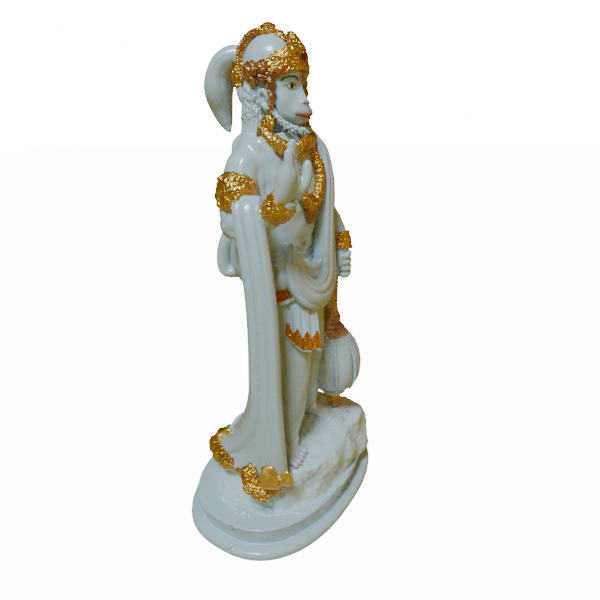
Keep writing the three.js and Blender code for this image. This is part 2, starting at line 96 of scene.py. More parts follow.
def along(values, t):
    """Smooth value at share t along a row of values, by the even four-point cubic."""
    v = np.asarray(values, float)
    v = concatenate([v[:1], v, v[-1:]])
    u = clip(t, 0, 1) * (len(v) - 3)
    i = minimum(u.astype(int), len(v) - 4)
    f = u - i
    a, b, c, d = v[i], v[i + 1], v[i + 2], v[i + 3]
    return 0.5 * (2 * b + (c - a) * f + (2 * a - 5 * b + 4 * c - d) * f ** 2 + (3 * b - a - 3 * c + d) * f ** 3)


def bell(x, middle, width):
    return np.exp(-(((x - middle) / width) ** 2))


def turn_from(a, b):
    """Angle a as seen from angle b, between minus and plus half a turn."""
    return np.arctan2(sin(a - b), cos(a - b))


def step(x, low, high):
    """Smooth rise from 0 at low to 1 at high."""
    u = clip((x - low) / (high - low), 0, 1)
    return u * u * (3 - 2 * u)


def fall(x, high, low):
    return 1 - step(x, high, low)


def pleats(x, sharp=0.8):
    """Rounded ridges, one for each whole number of x, with narrow grooves between them."""
    return abs(cos(pi * x)) ** sharp


def swell(p, size, seed):
    """Soft unevenness from -1 to 1: a sum of 18 plane waves about size mm long in seeded directions."""
    g = np.random.default_rng(seed)
    k = unit(g.normal(size=(18, 3))) * (TAU / size) * g.uniform(0.7, 1.4, (18, 1))
    return sin(p @ k.T + g.uniform(0, TAU, 18)).sum(-1) / sqrt(18)


def pebbles(p, size, seed):
    """Rounded lumps: one less the share of the way to the nearest of many seeded points about size mm apart."""
    shape = p.shape[:-1]
    p = p.reshape(-1, 3)
    low, high = p.min(0) - size, p.max(0) + size
    cells = maximum(np.ceil((high - low) / size).astype(int), 1)
    jitter = np.random.default_rng(seed).uniform(0.12, 0.88, (*cells + 2, 3))
    home = np.floor((p - low) / size).astype(int)
    near = np.full(len(p), 1e9)
    for off in np.ndindex(3, 3, 3):
        c = clip(home + array(off) - 1, 0, cells)
        q = low + (c + jitter[c[:, 0], c[:, 1], c[:, 2]]) * size
        near = minimum(near, ((p - q) ** 2).sum(-1))
    return (1 - minimum(sqrt(near) / (0.75 * size), 1) ** 1.6).reshape(shape)


def outward(v, quads, tris, **marks):
    """The skin with its faces turned so that the volume they hold is above zero."""
    a = concatenate([quads[:, :3], quads[:, [0, 2, 3]], tris])
    if (v[a[:, 0]] * cross(v[a[:, 1]], v[a[:, 2]])).sum() < 0:
        quads, tris = quads[:, ::-1], tris[:, ::-1]
    return {"v": v, "q": quads, "t": tris, **marks}


def skin(rings, **marks):
    """Rings of equally many points joined in order, and each end ring closed to its middle point."""
    n, m = rings.shape[:2]
    i, j = grid(arange(n - 1), arange(m))
    k = (j + 1) % m
    quads = np.stack([i * m + j, i * m + k, (i + 1) * m + k, (i + 1) * m + j], -1).reshape(-1, 4)
    j = arange(m)
    k = (j + 1) % m
    start, end = points(np.full(m, n * m), k, j), points(np.full(m, n * m + 1), (n - 1) * m + j, (n - 1) * m + k)
    closed = lambda x: concatenate([x.reshape(n * m, *x.shape[2:]), x[:1].mean(1), x[-1:].mean(1)])
    return outward(closed(rings), quads, concatenate([start, end]), **{key: closed(x) for key, x in marks.items()})


def ball_end(left, share, least=1e-4):
    """Height of a ball's outline over its last share of a length, of which left is still to go."""
    return sqrt(clip(1 - clip(1 - left / share, 0, 1) ** 2, least, 1)) if share else 1


def shares(steps, rounded):
    """Shares of a length, closer together towards an end that is rounded."""
    u = linspace(0, 1, steps + 1)
    if rounded[0] and rounded[1]:
        return 0.5 - 0.5 * cos(pi * u)
    if rounded[1]:
        return sin(0.5 * pi * u)
    return 1 - cos(0.5 * pi * u) if rounded[0] else u


def roll(path, wide, deep=None, across=(1, 0, 0), fine=(48, 60), carve=PLAIN, rounded=(0, 0), marks={}):
    """An oval carried along a smooth path, square to it: wide is half its reach along across, deep its other
    half reach, carve(t, a) moves the surface out in mm, over the shares rounded the ends close as a ball does,
    and fine is the number of points around and of steps along."""
    t = shares(fine[1], rounded)
    forward = heading(path, t, 1e-4)
    side = unit(array(across, float) - forward * (forward @ array(across, float))[:, None])
    up = cross(forward, side)
    tt, a = grid(t, turns(fine[0]))
    end = ball_end(tt, rounded[0]) * ball_end(1 - tt, rounded[1])
    out = carve(tt, a) * end
    w = along(wide, tt) * end + out
    d = along(wide if deep is None else deep, tt) * end + out
    rings = curve(path, t)[:, None] + side[:, None] * (w * cos(a))[..., None] + up[:, None] * (d * sin(a))[..., None]
    return skin(rings, **{key: f(tt, a) for key, f in marks.items()})


def egg(centre, reach, fine=(32, 20), carve=PLAIN, lean=(0, "X")):
    """A ball stretched to its reach in mm along each axis; carve(h, a) widens it by a share at height h and angle a."""
    lift = (arange(fine[1] + 1) + 0.12) / (fine[1] + 0.24) * pi - pi / 2
    h, a = grid(sin(lift), turns(fine[0]))
    flat = sqrt(1 - h ** 2) * (1 + carve(h, a))
    p = points(reach[0] * flat * cos(a), reach[1] * flat * sin(a), reach[2] * h)
    if lean[0]:
        p = p @ array(Matrix.Rotation(lean[0], 3, lean[1])).T
    return skin(p + array(centre, float))


CLOTH_WIDTH = 60


def cloth(point, thick, inward, across, steps, marks={}):
    """A cloth with a face and a back: point(s, t) is its face, s across and t along, inward(s, t) the way
    through it to the back; its side edges are half round."""
    theta = linspace(0, pi, 7)
    e = 0.5 * thick / CLOTH_WIDTH
    s_face, s_back = linspace(e, 1 - e, across + 1), linspace(1 - e, e, across // 4 + 1)
    bent, depth = e * sin(theta[1:-1]), cos(theta[1:-1])
    tt, ss = grid(linspace(0, 1, steps + 1), concatenate([s_face, 1 - e + bent, s_back, e - bent]))
    hh = np.broadcast_to(concatenate([ones(len(s_face)), depth, -ones(len(s_back)), -depth]), tt.shape)
    rings = point(ss, tt) + unit(inward(ss, tt)) * (0.5 - 0.5 * hh)[..., None] * thick
    return skin(rings, **{key: f(ss, tt, hh) for key, f in marks.items()})


def copies(one, v):
    """The same skin at many places, v being the points of each."""
    shift = (arange(len(v)) * len(one["v"]))[:, None, None]
    return {"v": v.reshape(-1, 3), **{k: (one[k][None] + shift).reshape(-1, one[k].shape[1]) for k in "qt"}}


def bead_row(at, size, fine=(10, 6), stretch=(1, 1, 1)):
    """Small balls of that radius, one at each point."""
    one = egg((0, 0, 0), (1, 1, 1), fine)
    size = np.broadcast_to(np.asarray(size, float), (len(at),))
    return copies(one, one["v"][None] * size[:, None, None] * array(stretch) + np.asarray(at)[:, None])


def joined(skins):
    """Several skins as one, with every mark that any of them carries."""
    at = np.cumsum([0] + [len(s["v"]) for s in skins])
    whole = {"v": concatenate([s["v"] for s in skins]),
        **{k: concatenate([s[k] + o for s, o in zip(skins, at)]) for k in "qt"}}
    for key in sorted({k for s in skins for k in s} - set("vqtn")):
        whole[key] = concatenate([s.get(key, zeros(len(s["v"]))) for s in skins])
    return whole


def placed(name, data):
    obj = bpy.data.objects.new(name, data)
    bpy.context.scene.collection.objects.link(obj)
    return obj


def mesh_of(name, whole, scale, shift=(0, 0, 0)):
    """A Blender mesh from a skin, with each mark as a point attribute."""
    me = bpy.data.meshes.new(name)
    v = (whole["v"] + array(shift)) * scale
    me.vertices.add(len(v))
    me.vertices.foreach_set("co", v.astype(np.float32).ravel())
    corners = concatenate([whole["q"].ravel(), whole["t"].ravel()]).astype(np.int32)
    sizes = concatenate([np.full(len(whole["q"]), 4), np.full(len(whole["t"]), 3)])
    me.loops.add(len(corners))
    me.loops.foreach_set("vertex_index", corners)
    me.polygons.add(len(sizes))
    me.polygons.foreach_set("loop_start", concatenate([[0], np.cumsum(sizes)[:-1]]).astype(np.int32))
    me.update(calc_edges=True)
    for key in set(whole) - set("vqt"):
        me.attributes.new(key, "FLOAT", "POINT").data.foreach_set("value", whole[key].astype(np.float32))
    me.polygons.foreach_set("use_smooth", ones(len(sizes), bool))
    return me


def read_off(rows, key, width, kind=np.float32):
    values = zeros(len(rows) * width, kind)
    rows.foreach_get(key, values)
    return values.reshape(-1, width)


def fused(skins, voxel, soften):
    """Overlapping skins cast as one surface: rebuilt on a grid of voxel mm and eased, so that the forms run
    into each other. Returns its points, faces and outward directions."""
    obj = placed("cast", mesh_of("cast", joined(skins), 1))
    rebuild, ease = obj.modifiers.new("rebuild", "REMESH"), obj.modifiers.new("ease", "SMOOTH")
    rebuild.mode, rebuild.voxel_size = "VOXEL", voxel
    ease.factor, ease.iterations = 0.5, soften
    done = obj.evaluated_get(bpy.context.evaluated_depsgraph_get()).to_mesh()
    v, n = (read_off(done.vertices, key, 3).astype(float) for key in ("co", "normal"))
    whole = {"v": v, "n": n, "q": read_off(done.loops, "vertex_index", 1, np.int32).reshape(-1, 4),
        "t": zeros((0, 3), int)}
    obj.to_mesh_clear()
    bpy.data.objects.remove(obj)
    return whole


def pushed(whole, out):
    """A fused skin with each point moved out along its own direction by out(p, n) mm."""
    return {**whole, "v": whole["v"] + whole["n"] * out(whole["v"], whole["n"])[:, None]}


def piece(name, skins, material, on_plinth=False):
    """A finished piece of the casting, at the origin with its place in its mesh."""
    whole = joined(skins if isinstance(skins, list) else [skins])
    obj = placed(name, mesh_of(name, whole, MM, (0, 0, 0) if on_plinth else STAND))
    obj.data.materials.append(material)
    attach(obj, "root")
    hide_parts(ROOT_NODE)


# Camera, at the photograph's viewing angle

def set_camera():
    """A 27 mm lens on a 36 mm square frame, looking along the turn a and pitch p, rolled a little by r."""
    at = array([-225.52, -157.11, 244.44])
    a, p, r = radians(55.45 + 2.21), radians(20.46), radians(-0.73)
    look = Vector((math.sin(a) * math.cos(p), math.cos(a) * math.cos(p), -math.sin(p)))
    right = Vector((math.cos(a), -math.sin(a), 0))
    up = right.cross(look)
    right, up = math.cos(r) * right + math.sin(r) * up, math.cos(r) * up - math.sin(r) * right
    data = bpy.data.cameras.new("camera")
    data.lens, data.sensor_width, data.sensor_fit = 27, 36, "HORIZONTAL"
    data.clip_start, data.clip_end = 0.01, 20
    camera = placed("camera", data)
    camera.matrix_world = Matrix.Translation(Vector(at * MM)) @ Matrix((right, up, -look)).transposed().to_4x4()
    bpy.context.scene.camera = camera


set_camera()


# Finishes

def material_named(name):
    m = bpy.data.materials.new(name)
    m.use_nodes = True
    return m, m.node_tree, m.node_tree.nodes["Principled BSDF"].inputs


def group_named(name, given, usual, *outputs):
    """An empty shader group with one float input, its usual value, and those float outputs."""
    tree = bpy.data.node_groups.new(name, "ShaderNodeTree")
    tree.interface.new_socket(given, in_out="INPUT", socket_type="NodeSocketFloat").default_value = usual
    for label in outputs:
        tree.interface.new_socket(label, in_out="OUTPUT", socket_type="NodeSocketFloat")
    return tree, tree.nodes.new("NodeGroupInput").outputs[given], tree.nodes.new("NodeGroupOutput").inputs


def fill(tree, sockets, **values):
    """Gives each named socket its number or colour, or the link that comes in; an underscore stands for a blank."""
    for label, value in values.items():
        socket = sockets[label.replace("_", " ")]
        if isinstance(value, bpy.types.NodeSocket):
            tree.links.new(value, socket)
        else:
            socket.default_value = (*value, 1) if isinstance(value, tuple) else value


def node(tree, kind, **values):
    n = tree.nodes.new("ShaderNode" + kind)
    fill(tree, n.inputs, **values)
    return n


def noise(tree, scale, detail, roughness=0.55):
    """Noise over the object's own coordinates, scale in waves a metre."""
    at = node(tree, "TexCoord").outputs["Object"]
    return node(tree, "TexNoise", Vector=at, Scale=scale, Detail=detail, Roughness=roughness).outputs["Fac"]


def maths(tree, kind, a, b, clamp=False):
    m = tree.nodes.new("ShaderNodeMath")
    m.operation, m.use_clamp = kind, clamp
    fill(tree, {"a": m.inputs[0], "b": m.inputs[1]}, a=a, b=b)
    return m.outputs[0]


def mixed(tree, share, a, b):
    m = tree.nodes.new("ShaderNodeMix")
    m.data_type = "RGBA"
    fill(tree, {"share": m.inputs[0], "a": m.inputs[6], "b": m.inputs[7]}, share=share, a=a, b=b)
    return m.outputs[2]


def casting_grain():
    """Glazed casting: slow colour drift, rare pinholes, a faintly uneven glaze height and its roughness."""
    tree, pits, out = group_named("casting_grain", "Pits", 0.5, "Drift", "Height", "Roughness")
    waves, fine = noise(tree, 260, 3, 0.5), noise(tree, 1500, 2, 0.6)
    hole = maths(tree, "MULTIPLY", maths(tree, "GREATER_THAN", noise(tree, 620, 1, 0.3), 0.71), pits)
    height = maths(tree, "ADD", maths(tree, "MULTIPLY", waves, 0.8), maths(tree, "MULTIPLY", fine, 0.12))
    fill(tree, out, Drift=noise(tree, 22, 2), Height=maths(tree, "SUBTRACT", height, hole),
        Roughness=maths(tree, "ADD", 0.16, maths(tree, "MULTIPLY", waves, 0.2)))
    return tree


def gilt_flake():
    """Gold paint: flakes and lumps as height, a glitter share, and a share of copper where the paint is thin."""
    tree, flake, out = group_named("gilt_flake", "Flake", 900, "Height", "Glitter", "Thin")
    glitter = node(tree, "TexVoronoi", Vector=node(tree, "TexCoord").outputs["Object"], Scale=flake).outputs["Distance"]
    height = maths(tree, "ADD", maths(tree, "MULTIPLY", glitter, 0.7), noise(tree, 420, 3))
    fill(tree, out, Height=height, Glitter=glitter, Thin=noise(tree, 110, 3))
    return tree


GRAIN, FLAKE = casting_grain(), gilt_flake()
WHITE_GLAZE = (0.59, 0.69, 0.77)
PAINTS = {"blush": (0.62, 0.26, 0.42), "pink": (0.47, 0.13, 0.11), "red": (0.36, 0.02, 0.06),
    "black": (0.012, 0.014, 0.016)}


def use(tree, group, **values):
    """The outputs of a shader group put into the tree."""
    g = tree.nodes.new("ShaderNodeGroup")
    g.node_tree = group
    fill(tree, g.inputs, **values)
    return g.outputs


def mark_of(tree, name):
    """The share from 0 to 1 that the piece's own mesh carries under that name."""
    mark = node(tree, "Attribute")
    mark.attribute_name = name
    return mark.outputs["Fac"]


def bumped(tree, height, strength, depth):
    """A bump of that height, depth in metres."""
    return node(tree, "Bump", Height=height, Strength=strength, Distance=depth).outputs["Normal"]


def glaze(name, colour=WHITE_GLAZE, pits=0.5, bump=0.12, paints=(), gilded=None):
    """Bluish white gloss glaze, with paint where the mesh's mark of its name is, and gold at its gilt mark."""
    m, tree, shader = material_named(name)
    grain = use(tree, GRAIN, Pits=pits)
    warm = tuple(c * f for c, f in zip(colour, (0.97, 0.955, 0.9)))
    base = mixed(tree, maths(tree, "MULTIPLY", grain["Drift"], 0.6), colour, warm)
    for paint in paints:
        base = mixed(tree, mark_of(tree, paint), base, PAINTS[paint])
    height = grain["Height"]
    if gilded:
        gilt, flake = mark_of(tree, "gilt"), use(tree, FLAKE, Flake=800)
        base = mixed(tree, gilt, base, mixed(tree, flake["Thin"], *gilded))
        fill(tree, shader, Metallic=maths(tree, "MULTIPLY", gilt, 0.8))
        height = maths(tree, "ADD", height, maths(tree, "MULTIPLY", gilt, maths(tree, "MULTIPLY", flake["Height"], 3)))
    fill(tree, shader, Base_Color=base, Roughness=grain["Roughness"], Normal=bumped(tree, height, bump, 0.0006),
        Coat_Weight=0.55, Coat_Roughness=0.04, IOR=1.5)
    return m


def gilding(name, gold=(1, 0.58, 0.09), thin=(0.6, 0.2, 0.025), flake=560, bump=1, metal=0.85, rough=0.14):
    """Gold paint with glittering flakes, browner where it is thin."""
    m, tree, shader = material_named(name)
    f = use(tree, FLAKE, Flake=flake)
    worn = maths(tree, "MULTIPLY", maths(tree, "SUBTRACT", f["Thin"], 0.36, True), 3, True)
    fill(tree, shader, Base_Color=mixed(tree, worn, gold, thin), Normal=bumped(tree, f["Height"], bump, 0.0009),
        Roughness=maths(tree, "ADD", rough, maths(tree, "MULTIPLY", f["Glitter"], 0.25)), Metallic=metal,
        Coat_Weight=0.8, Coat_Roughness=0.14)
    return m


white = glaze("white_glaze")
pitted_white = glaze("pitted_white_glaze", pits=1, bump=0.3)
# The rock's and feet's glaze is the white glaze made about a quarter lighter: painted light that makes the rock and
# feet brighter than the same glaze elsewhere. It also carries the blush paint.
painted_light_rock_glaze = glaze("rock_glaze_with_painted_light", (0.74, 0.86, 0.94), pits=0.6, bump=0.25, paints=["blush"])
gilt_cloth = glaze("gilt_edged_glaze", gilded=((0.95, 0.42, 0.03), (0.52, 0.12, 0.015)), bump=0.35)
red_gilt_cloth = glaze("red_gilt_edged_glaze", gilded=((0.4, 0.06, 0.03), (0.66, 0.18, 0.04)), bump=0.35)
face_paint = glaze("face_paint", pits=0, bump=0.05, paints=("pink", "red", "black"))
gold = gilding("gold_paint")
smooth_gold = gilding("smooth_gold_paint", gold=(0.95, 0.6, 0.1), thin=(0.8, 0.36, 0.05), flake=320, bump=0.35,
    rough=0.26)
worn_gold = gilding("worn_gold_paint", gold=(0.95, 0.48, 0.09), thin=(0.58, 0.2, 0.04), flake=420, bump=0.7)
copper = gilding("copper_gold_paint", gold=(0.6, 0.25, 0.08), thin=(0.28, 0.07, 0.03), metal=0.6)
handle_copper = gilding("handle_copper_paint", gold=(0.82, 0.5, 0.36), thin=(0.5, 0.2, 0.14), metal=0.3)
ruby = glaze("dark_red_paint", colour=(0.16, 0.008, 0.012), pits=0, bump=0.03)


# Plinth and rock

def plinth_edge(a, inset, z):
    """Bar-shaped outline with round ends: the oval whose sine and cosine are raised to 2 over the corner number."""
    round_to = lambda v: np.sign(v) * abs(v) ** (2 / PLINTH_CORNER)
    return points((PLINTH_LENGTH / 2 - inset) * round_to(cos(a)), (PLINTH_WIDTH / 2 - inset) * round_to(sin(a)),
        z + 0 * a)


def plinth():
    """The foot moulding, the step and the wall as one profile carried round the outline, a little uneven as cast,
    with the mould's seam up its near end."""
    corner = linspace(0, pi / 2, 9)
    bend = corner[1:]
    mould = [1.4 - 1.4 * sin(corner), 2.4 - 2.4 * cos(corner)]
    lip = [2.6 * (1 - cos(corner)), 3 + 3 * sin(corner)]
    ledge = [2.6 + 4.4 * sin(bend), 6 - 0.9 * (1 - cos(bend))]
    wall = [linspace(PLINTH_STEP + 2.4, PLINTH_STEP, 12), linspace(5.6, PLINTH_TOP - 1.4, 12)]
    brim = [PLINTH_STEP + 1.4 - 1.4 * cos(bend), PLINTH_TOP - 1.4 + 1.4 * sin(bend)]
    top = [linspace(PLINTH_STEP + 3, 40, 10), PLINTH_TOP * ones(10)]
    profile = concatenate([mould, lip, ledge, wall, brim, top], 1).T
    a = np.unique(concatenate([turns(232), radians(186.9) + linspace(-0.07, 0.05, 37)]))
    rings = np.stack([plinth_edge(a, max(inset, 0), z) for inset, z in profile])
    height = rings[..., 2]
    body = step(height, 0.5, 3) * fall(height, PLINTH_TOP - 2, PLINTH_TOP)
    sway = 0.01 * sin(0.7 * height)
    line_at = lambda degrees, width: bell(turn_from(a, radians(degrees)) + sway, 0, width)
    seam = line_at(187.4, 0.012) * 0.55 - line_at(186, 0.013) * 1.8
    uneven = 0.28 * swell(rings * [1, 1, 0.3], 34, 3) + 0.07 * swell(rings, 7, 4) - 0.28
    rings = rings + points(cos(a), sin(a), 0 * a)[None] * ((uneven + seam) * body)[..., None]
    rings[..., 2] += 0.12 * swell(rings, 22, 9) * step(height, PLINTH_TOP - 2, PLINTH_TOP)
    return skin(rings)


def mound_point(a, level, out):
    """Point on the rock: angle a around, level from its foot to its top, out mm proud of it."""
    c, s = cos(a), sin(a)
    round_to = lambda v: np.sign(v) * abs(v) ** 0.84
    height = clip(level, 0, 1)
    slope = 0.15 * maximum(0, -c) ** 2 + 0.14 * maximum(0, s) ** 2
    drop = 1.6 * maximum(0, c) ** 3 + 3 * maximum(0, cos(a - 2.3)) ** 3
    corner = 1 + 0.2 * bell(turn_from(a, -0.7), 0, 0.45)
    lump = 0.02 * sin(5 * a + 5 * level) + 0.014 * sin(11 * a - 7 * level)
    reach = ((1 - height ** 30) ** 0.2 - slope * height + lump * (1 - height ** 6)) * corner
    return points(ROCK_SHIFT + ROCK_LENGTH / 2 * reach * round_to(c) + out * c,
        ROCK_WIDTH / 2 * reach * round_to(s) + out * s,
        PLINTH_TOP + ROCK_HEIGHT * level - height * drop)


def rock():
    """The mound's sides and its top as rings, roughened with pebbles on top and crags down the sides."""
    a = turns(300)
    eased = -7 * bell(turn_from(a, radians(-62)), 0, 0.95)
    sides = np.stack([mound_point(a, lv, eased * max(lv, 0) ** 3) for lv in linspace(-0.06, 0.97, 52)])
    shoulder, middle = sides[-1], array([ROCK_SHIFT, 0, 0])
    u = linspace(0, 1, 36)[1:, None, None]
    top = shoulder[None] * (1 - u) + middle * u
    top[..., 2] = shoulder[None, :, 2] + (46 - shoulder[None, :, 2]) * sin(0.5 * pi * minimum(1, 3.2 * u[..., 0]))
    rings = concatenate([sides, top])
    level_no = arange(len(rings))[:, None]
    on_side = 1 - step(level_no, 44, 58)
    away = points(cos(a) + 0 * level_no, sin(a) + 0 * level_no, 0.25 + 0 * a + 0 * level_no) * on_side[..., None]
    away = unit(away + (1 - on_side)[..., None] * array([0, 0, 1]))
    rough = 0.55 + 0.45 * (0.5 + 0.5 * cos(turn_from(a, radians(-45))))[None]
    big = 1.1 * swell(rings, 20, 21) + 0.9 * pebbles(rings * [1, 1, 0.6], 11, 22)
    small = 0.9 * pebbles(rings, 4.6, 23) + 0.35 * pebbles(rings, 2.2, 24) - 0.6
    out = on_side * (big * rough - 1.6 + small * rough) + (1 - on_side) * (0.35 * swell(rings, 18, 25)
        + 0.5 * abs(swell(rings, 9, 26)) ** 0.6 + 0.3 * abs(swell(rings, 4.5, 27)) ** 0.6 - 0.6)
    foot = step(rings[..., 2], PLINTH_TOP - 1, PLINTH_TOP + 2)
    rings = rings + away * (out * (0.35 + 0.65 * foot))[..., None]
    spot = lambda x, y, wide, deep: bell(hypot((rings[..., 0] - x) / wide, (rings[..., 1] - y) / deep), 0, 1)
    toes_r, mace_at, toes_l = spot(-25, -33, 9, 7), spot(38, -30, 6, 4), spot(27, -33, 6, 3)
    veins = pebbles(rings, 5, 31) < 0.25
    return skin(rings, blush=clip(0.5 * toes_r + 1.3 * (mace_at + 0.5 * toes_l), 0, 1) * (0.2 + 0.8 * veins))


piece("plinth", plinth(), white, on_plinth=True)


def flash():
    """Casting flash: a thin ragged ridge on the plinth along the rock's near foot."""
    turn = linspace(2.9, 4.75, 13)
    way = mound_point(turn, 0 * turn - 0.01, 1.6 + 1.4 * sin(5 * turn) ** 2)
    return roll(way, 0.5 + 0.6 * abs(sin(7 * turn)), 0.4 + 0.3 * abs(cos(5 * turn)), across=(0, 0, 1), fine=(14, 200),
        carve=lambda t, a: 0.45 * cos(90 * t) * cos(31 * t) + 0.2 * cos(2 * a + 50 * t), rounded=(0.05, 0.05))


def crumbs():
    """Crumbs of casting left in an uneven line on the plinth before the rock."""
    t = np.sort(rng.uniform(0, 1, 34))
    line = curve([[-55.3, 12.5, 19], [-58.5, 3.7, 19], [-60.2, -4.9, 19], [-59.4, -11.7, 19]], t)
    return bead_row(line + rng.normal(0, [1.3, 0.5, 0.1], (34, 3)), rng.uniform(0.5, 1.25, 34), stretch=(1.3, 1, 0.8))


# The rock wears the lighter glaze: painted light.
piece("rock", [rock(), flash(), crumbs()], painted_light_rock_glaze, on_plinth=True)


# Legs and feet

def leg(hip, knee, calf, ankle):
    """Thigh, knee, calf and ankle as one oval carried down the leg."""
    return roll([hip, knee, calf, ankle, [ankle[0], ankle[1] + 1, -1]], [13.5, 12.6, 11, 6.4, 5.8],
        [14, 10.6, 9.8, 6.2, 6.5], fine=(48, 90))


def foot(ankle, heel, toes, spread):
    """Instep, ankle bones and five rounded toes with gaps between them."""
    (x, y, z), (hx, hy, _), (ax, ay, _) = toes, heel, ankle
    upper = roll([[ax, ay, 12], [ax, ay - 0.5, 6], [hx, hy - 2, 3]], [5.2, 5.4, 5], [5.4, 6.4, 6.2], rounded=(0, 0.2))
    instep = roll([heel, [(hx + x) / 2, (hy + y) / 2, 2.6], toes], [4.5, 6, 7.6], [4.6, 3.6, 1.7], rounded=(0.25, 0.2))
    skins = [upper, instep, egg([ax - 4.6, ay - 1, 8], [1.8, 2.4, 2.6])]
    for n in range(5):
        offset = (n - 2) * 3.4
        reach = 6.6 - 0.6 * abs(n - 2 - 1.2 * spread) ** 1.2
        big = 1.25 if n == (4 if spread < 0 else 0) else 1
        root, tip = [x + offset * 0.9, y + 3, z], [x + offset + 0.6 * spread, y - reach, z - 1.2]
        skins.append(roll([root, [x + offset + 0.3 * spread, y - 0.55 * reach, z + 0.2], tip],
            [1.6 * big, 1.75 * big, 1.5 * big], fine=(24, 30), rounded=(0, 0.4)))
    return skins


right_leg = leg([-12, -4, 100], [-13.5, -15.5, 62], [-17.5, -16, 36], [-20.5, -15, 9])
left_leg = leg([16.2, -4, 100], [17, -8.5, 64], [19, -6.5, 34], [21.5, -5, 9])


def blushed(v, centre, size):
    """A soft blush mark around a point."""
    return bell(np.linalg.norm((v - array(centre)) / array(size), axis=-1), 0, 0.8)


right_foot = foot([-19.5, -15, 9], [-18, -9, 2.5], [-27, -25, 1], -1)
left_foot = foot([21.5, -5, 8], [21, 1, 0.5], [27, -21, -0.9], 1)
feet = fused([*right_foot, *left_foot], 0.44, 2)
feet["blush"] = maximum(blushed(feet["v"], [-27, -29, 1], [11, 5.5, 4]), blushed(feet["v"], [28, -27, 1], [9, 4, 4]))
feet["blush"] *= 0.35 + 0.6 * (1 - pleats(feet["v"][:, 0] / 3.4 - 0.08, 0.9))
# The feet wear the rock's lighter glaze too: painted light.
piece("feet", feet, painted_light_rock_glaze)
piece("legs", pushed(fused([right_leg, left_leg], 1.1, 3), lambda p, n: 0.12 * swell(p, 12, 41)), white)


# Trunk, shoulders and arms

trunk = roll([[0, 0, 100], [0, 0.5, 120], [0, -2.5, 135], [0, -3, 150], [0, -2, 166], [0, 4, 196], [0, 4, 206]],
    [22, 24, 20, 21.5, 24, 14, 9.5], [15.5, 17, 15.6, 17, 16, 10, 9.5], fine=(96, 120))


def shawl_folds(t, a):
    """Soft folds that fan from the shoulders down the chest and back."""
    front = pleats((a + 0.35 * t) * 11 / TAU, 0.7)
    return 1.7 * (front - 0.55) * step(t, 0.05, 0.3) * fall(t, 0.8, 1) + 0.3


shawl = roll([[0, -1, 150], [0, -0.5, 160], [0, 1, 174], [0, 4.5, 186], [0, 8, 194.5], [0, 8, 201]],
    [20, 24.5, 27.5, 28.8, 23.5, 11], [14.5, 17.4, 19, 19.3, 19, 11], fine=(240, 110), carve=shawl_folds)
upper_arm = roll([[-21, 4.4, 187], [-27.2, 5.2, 181], [-33.6, 5, 168], [-36.6, 5.5, 155], [-38, 1, 149]],
    [7, 9.8, 9.4, 8.6, 7], across=(0, 1, 0))
forearm = roll([[-39, 9, 151], [-39.5, -8, 154.5], [-38, -26, 162], [-37, -30, 168]], [6, 8, 6, 5.6])
left_arm = roll([[22, 3, 186], [28, 4, 181], [36, 2, 168], [41, -3, 153], [42.5, -11.5, 140], [42, -17, 130],
    [39, -18.5, 118]], [7, 9.6, 9.6, 8.4, 7.8, 7, 6.6], across=(0, 1, 0))
hip_cloth = roll([[-12, 13, 154], [-16, 16, 138], [-17, 18, 124], [-13, 15, 108]], [7, 8, 7.5, 5], fine=(60, 60),
    rounded=(0.1, 0.1))
side_cloth = roll([[14, -7, 172], [16.5, -11, 156], [15.5, -12.5, 142], [15, -13.4, 130], [13, -13, 116]],
    [6, 7.5, 6.5, 6.6, 5], fine=(48, 60), rounded=(0.12, 0.12))
elbow = egg([-37.6, 8.5, 151], [5.4, 6.4, 8.4])
hip_gathers = [egg([-19.6, -13.4, 127.6], [4.6, 3.8, 6.4]), egg([-21.6, -14.2, 117.4], [5.2, 4.6, 5.6]),
    egg([-17.5, -16.6, 118.4], [4.4, 3.6, 6])]
sleeve_fold = roll([[-34, 8, 160], [-38, 8, 154], [-40.5, 4.5, 149.5], [-43, -2, 147.5], [-45.5, -7, 146]],
    [5, 6, 4.6, 3.4, 2], [4, 4.6, 3.4, 3, 2], across=(0, 1, 0), fine=(60, 60),
    carve=lambda t, a: 0.4 * (pleats(3 * a / pi + t, 0.7) - 0.5))


def torso_carving(p, n):
    """Navel, the creases of the belly above the sash, and the hollow line down the breastbone."""
    x, y, z = p.T
    front = step(-n[:, 1], 0.2, 0.7)
    navel = -3.2 * bell(hypot(x + 2, (z - 135.6) * 1.1), 0, 2.2)
    near = fall(abs(x - 2), 9, 14)
    creases = sum(-1.5 * bell(z - at - 0.02 * (x - 3) ** 2, 0, 0.9) * near for at in (123, 127.5, 131))
    chest = 0.9 * bell(abs(x), 10, 7) * bell(z, 165, 9)
    upper = step(z, 160, 168) * fall(z, 189, 195)
    drape = upper * (-1.7 * bell(x + 0.06 * (z - 180), -24.8, 0.8) + 0.5 * bell(x, -21.6, 2.4))
    shoulder = upper * step(-n[:, 0], 0.1, 0.5) * 0.32 * (pleats((y + 0.2 * (z - 180)) / 6.5) - 0.6) * fall(y, 14, 22)
    return front * (navel + creases + chest + drape) + shoulder + 0.22 * swell(p, 11, 43)


piece("torso", pushed(fused([trunk, shawl, upper_arm, forearm, left_arm, hip_cloth, side_cloth, elbow, sleeve_fold,
    *hip_gathers], 1, 3), torso_carving), white)


# Hands

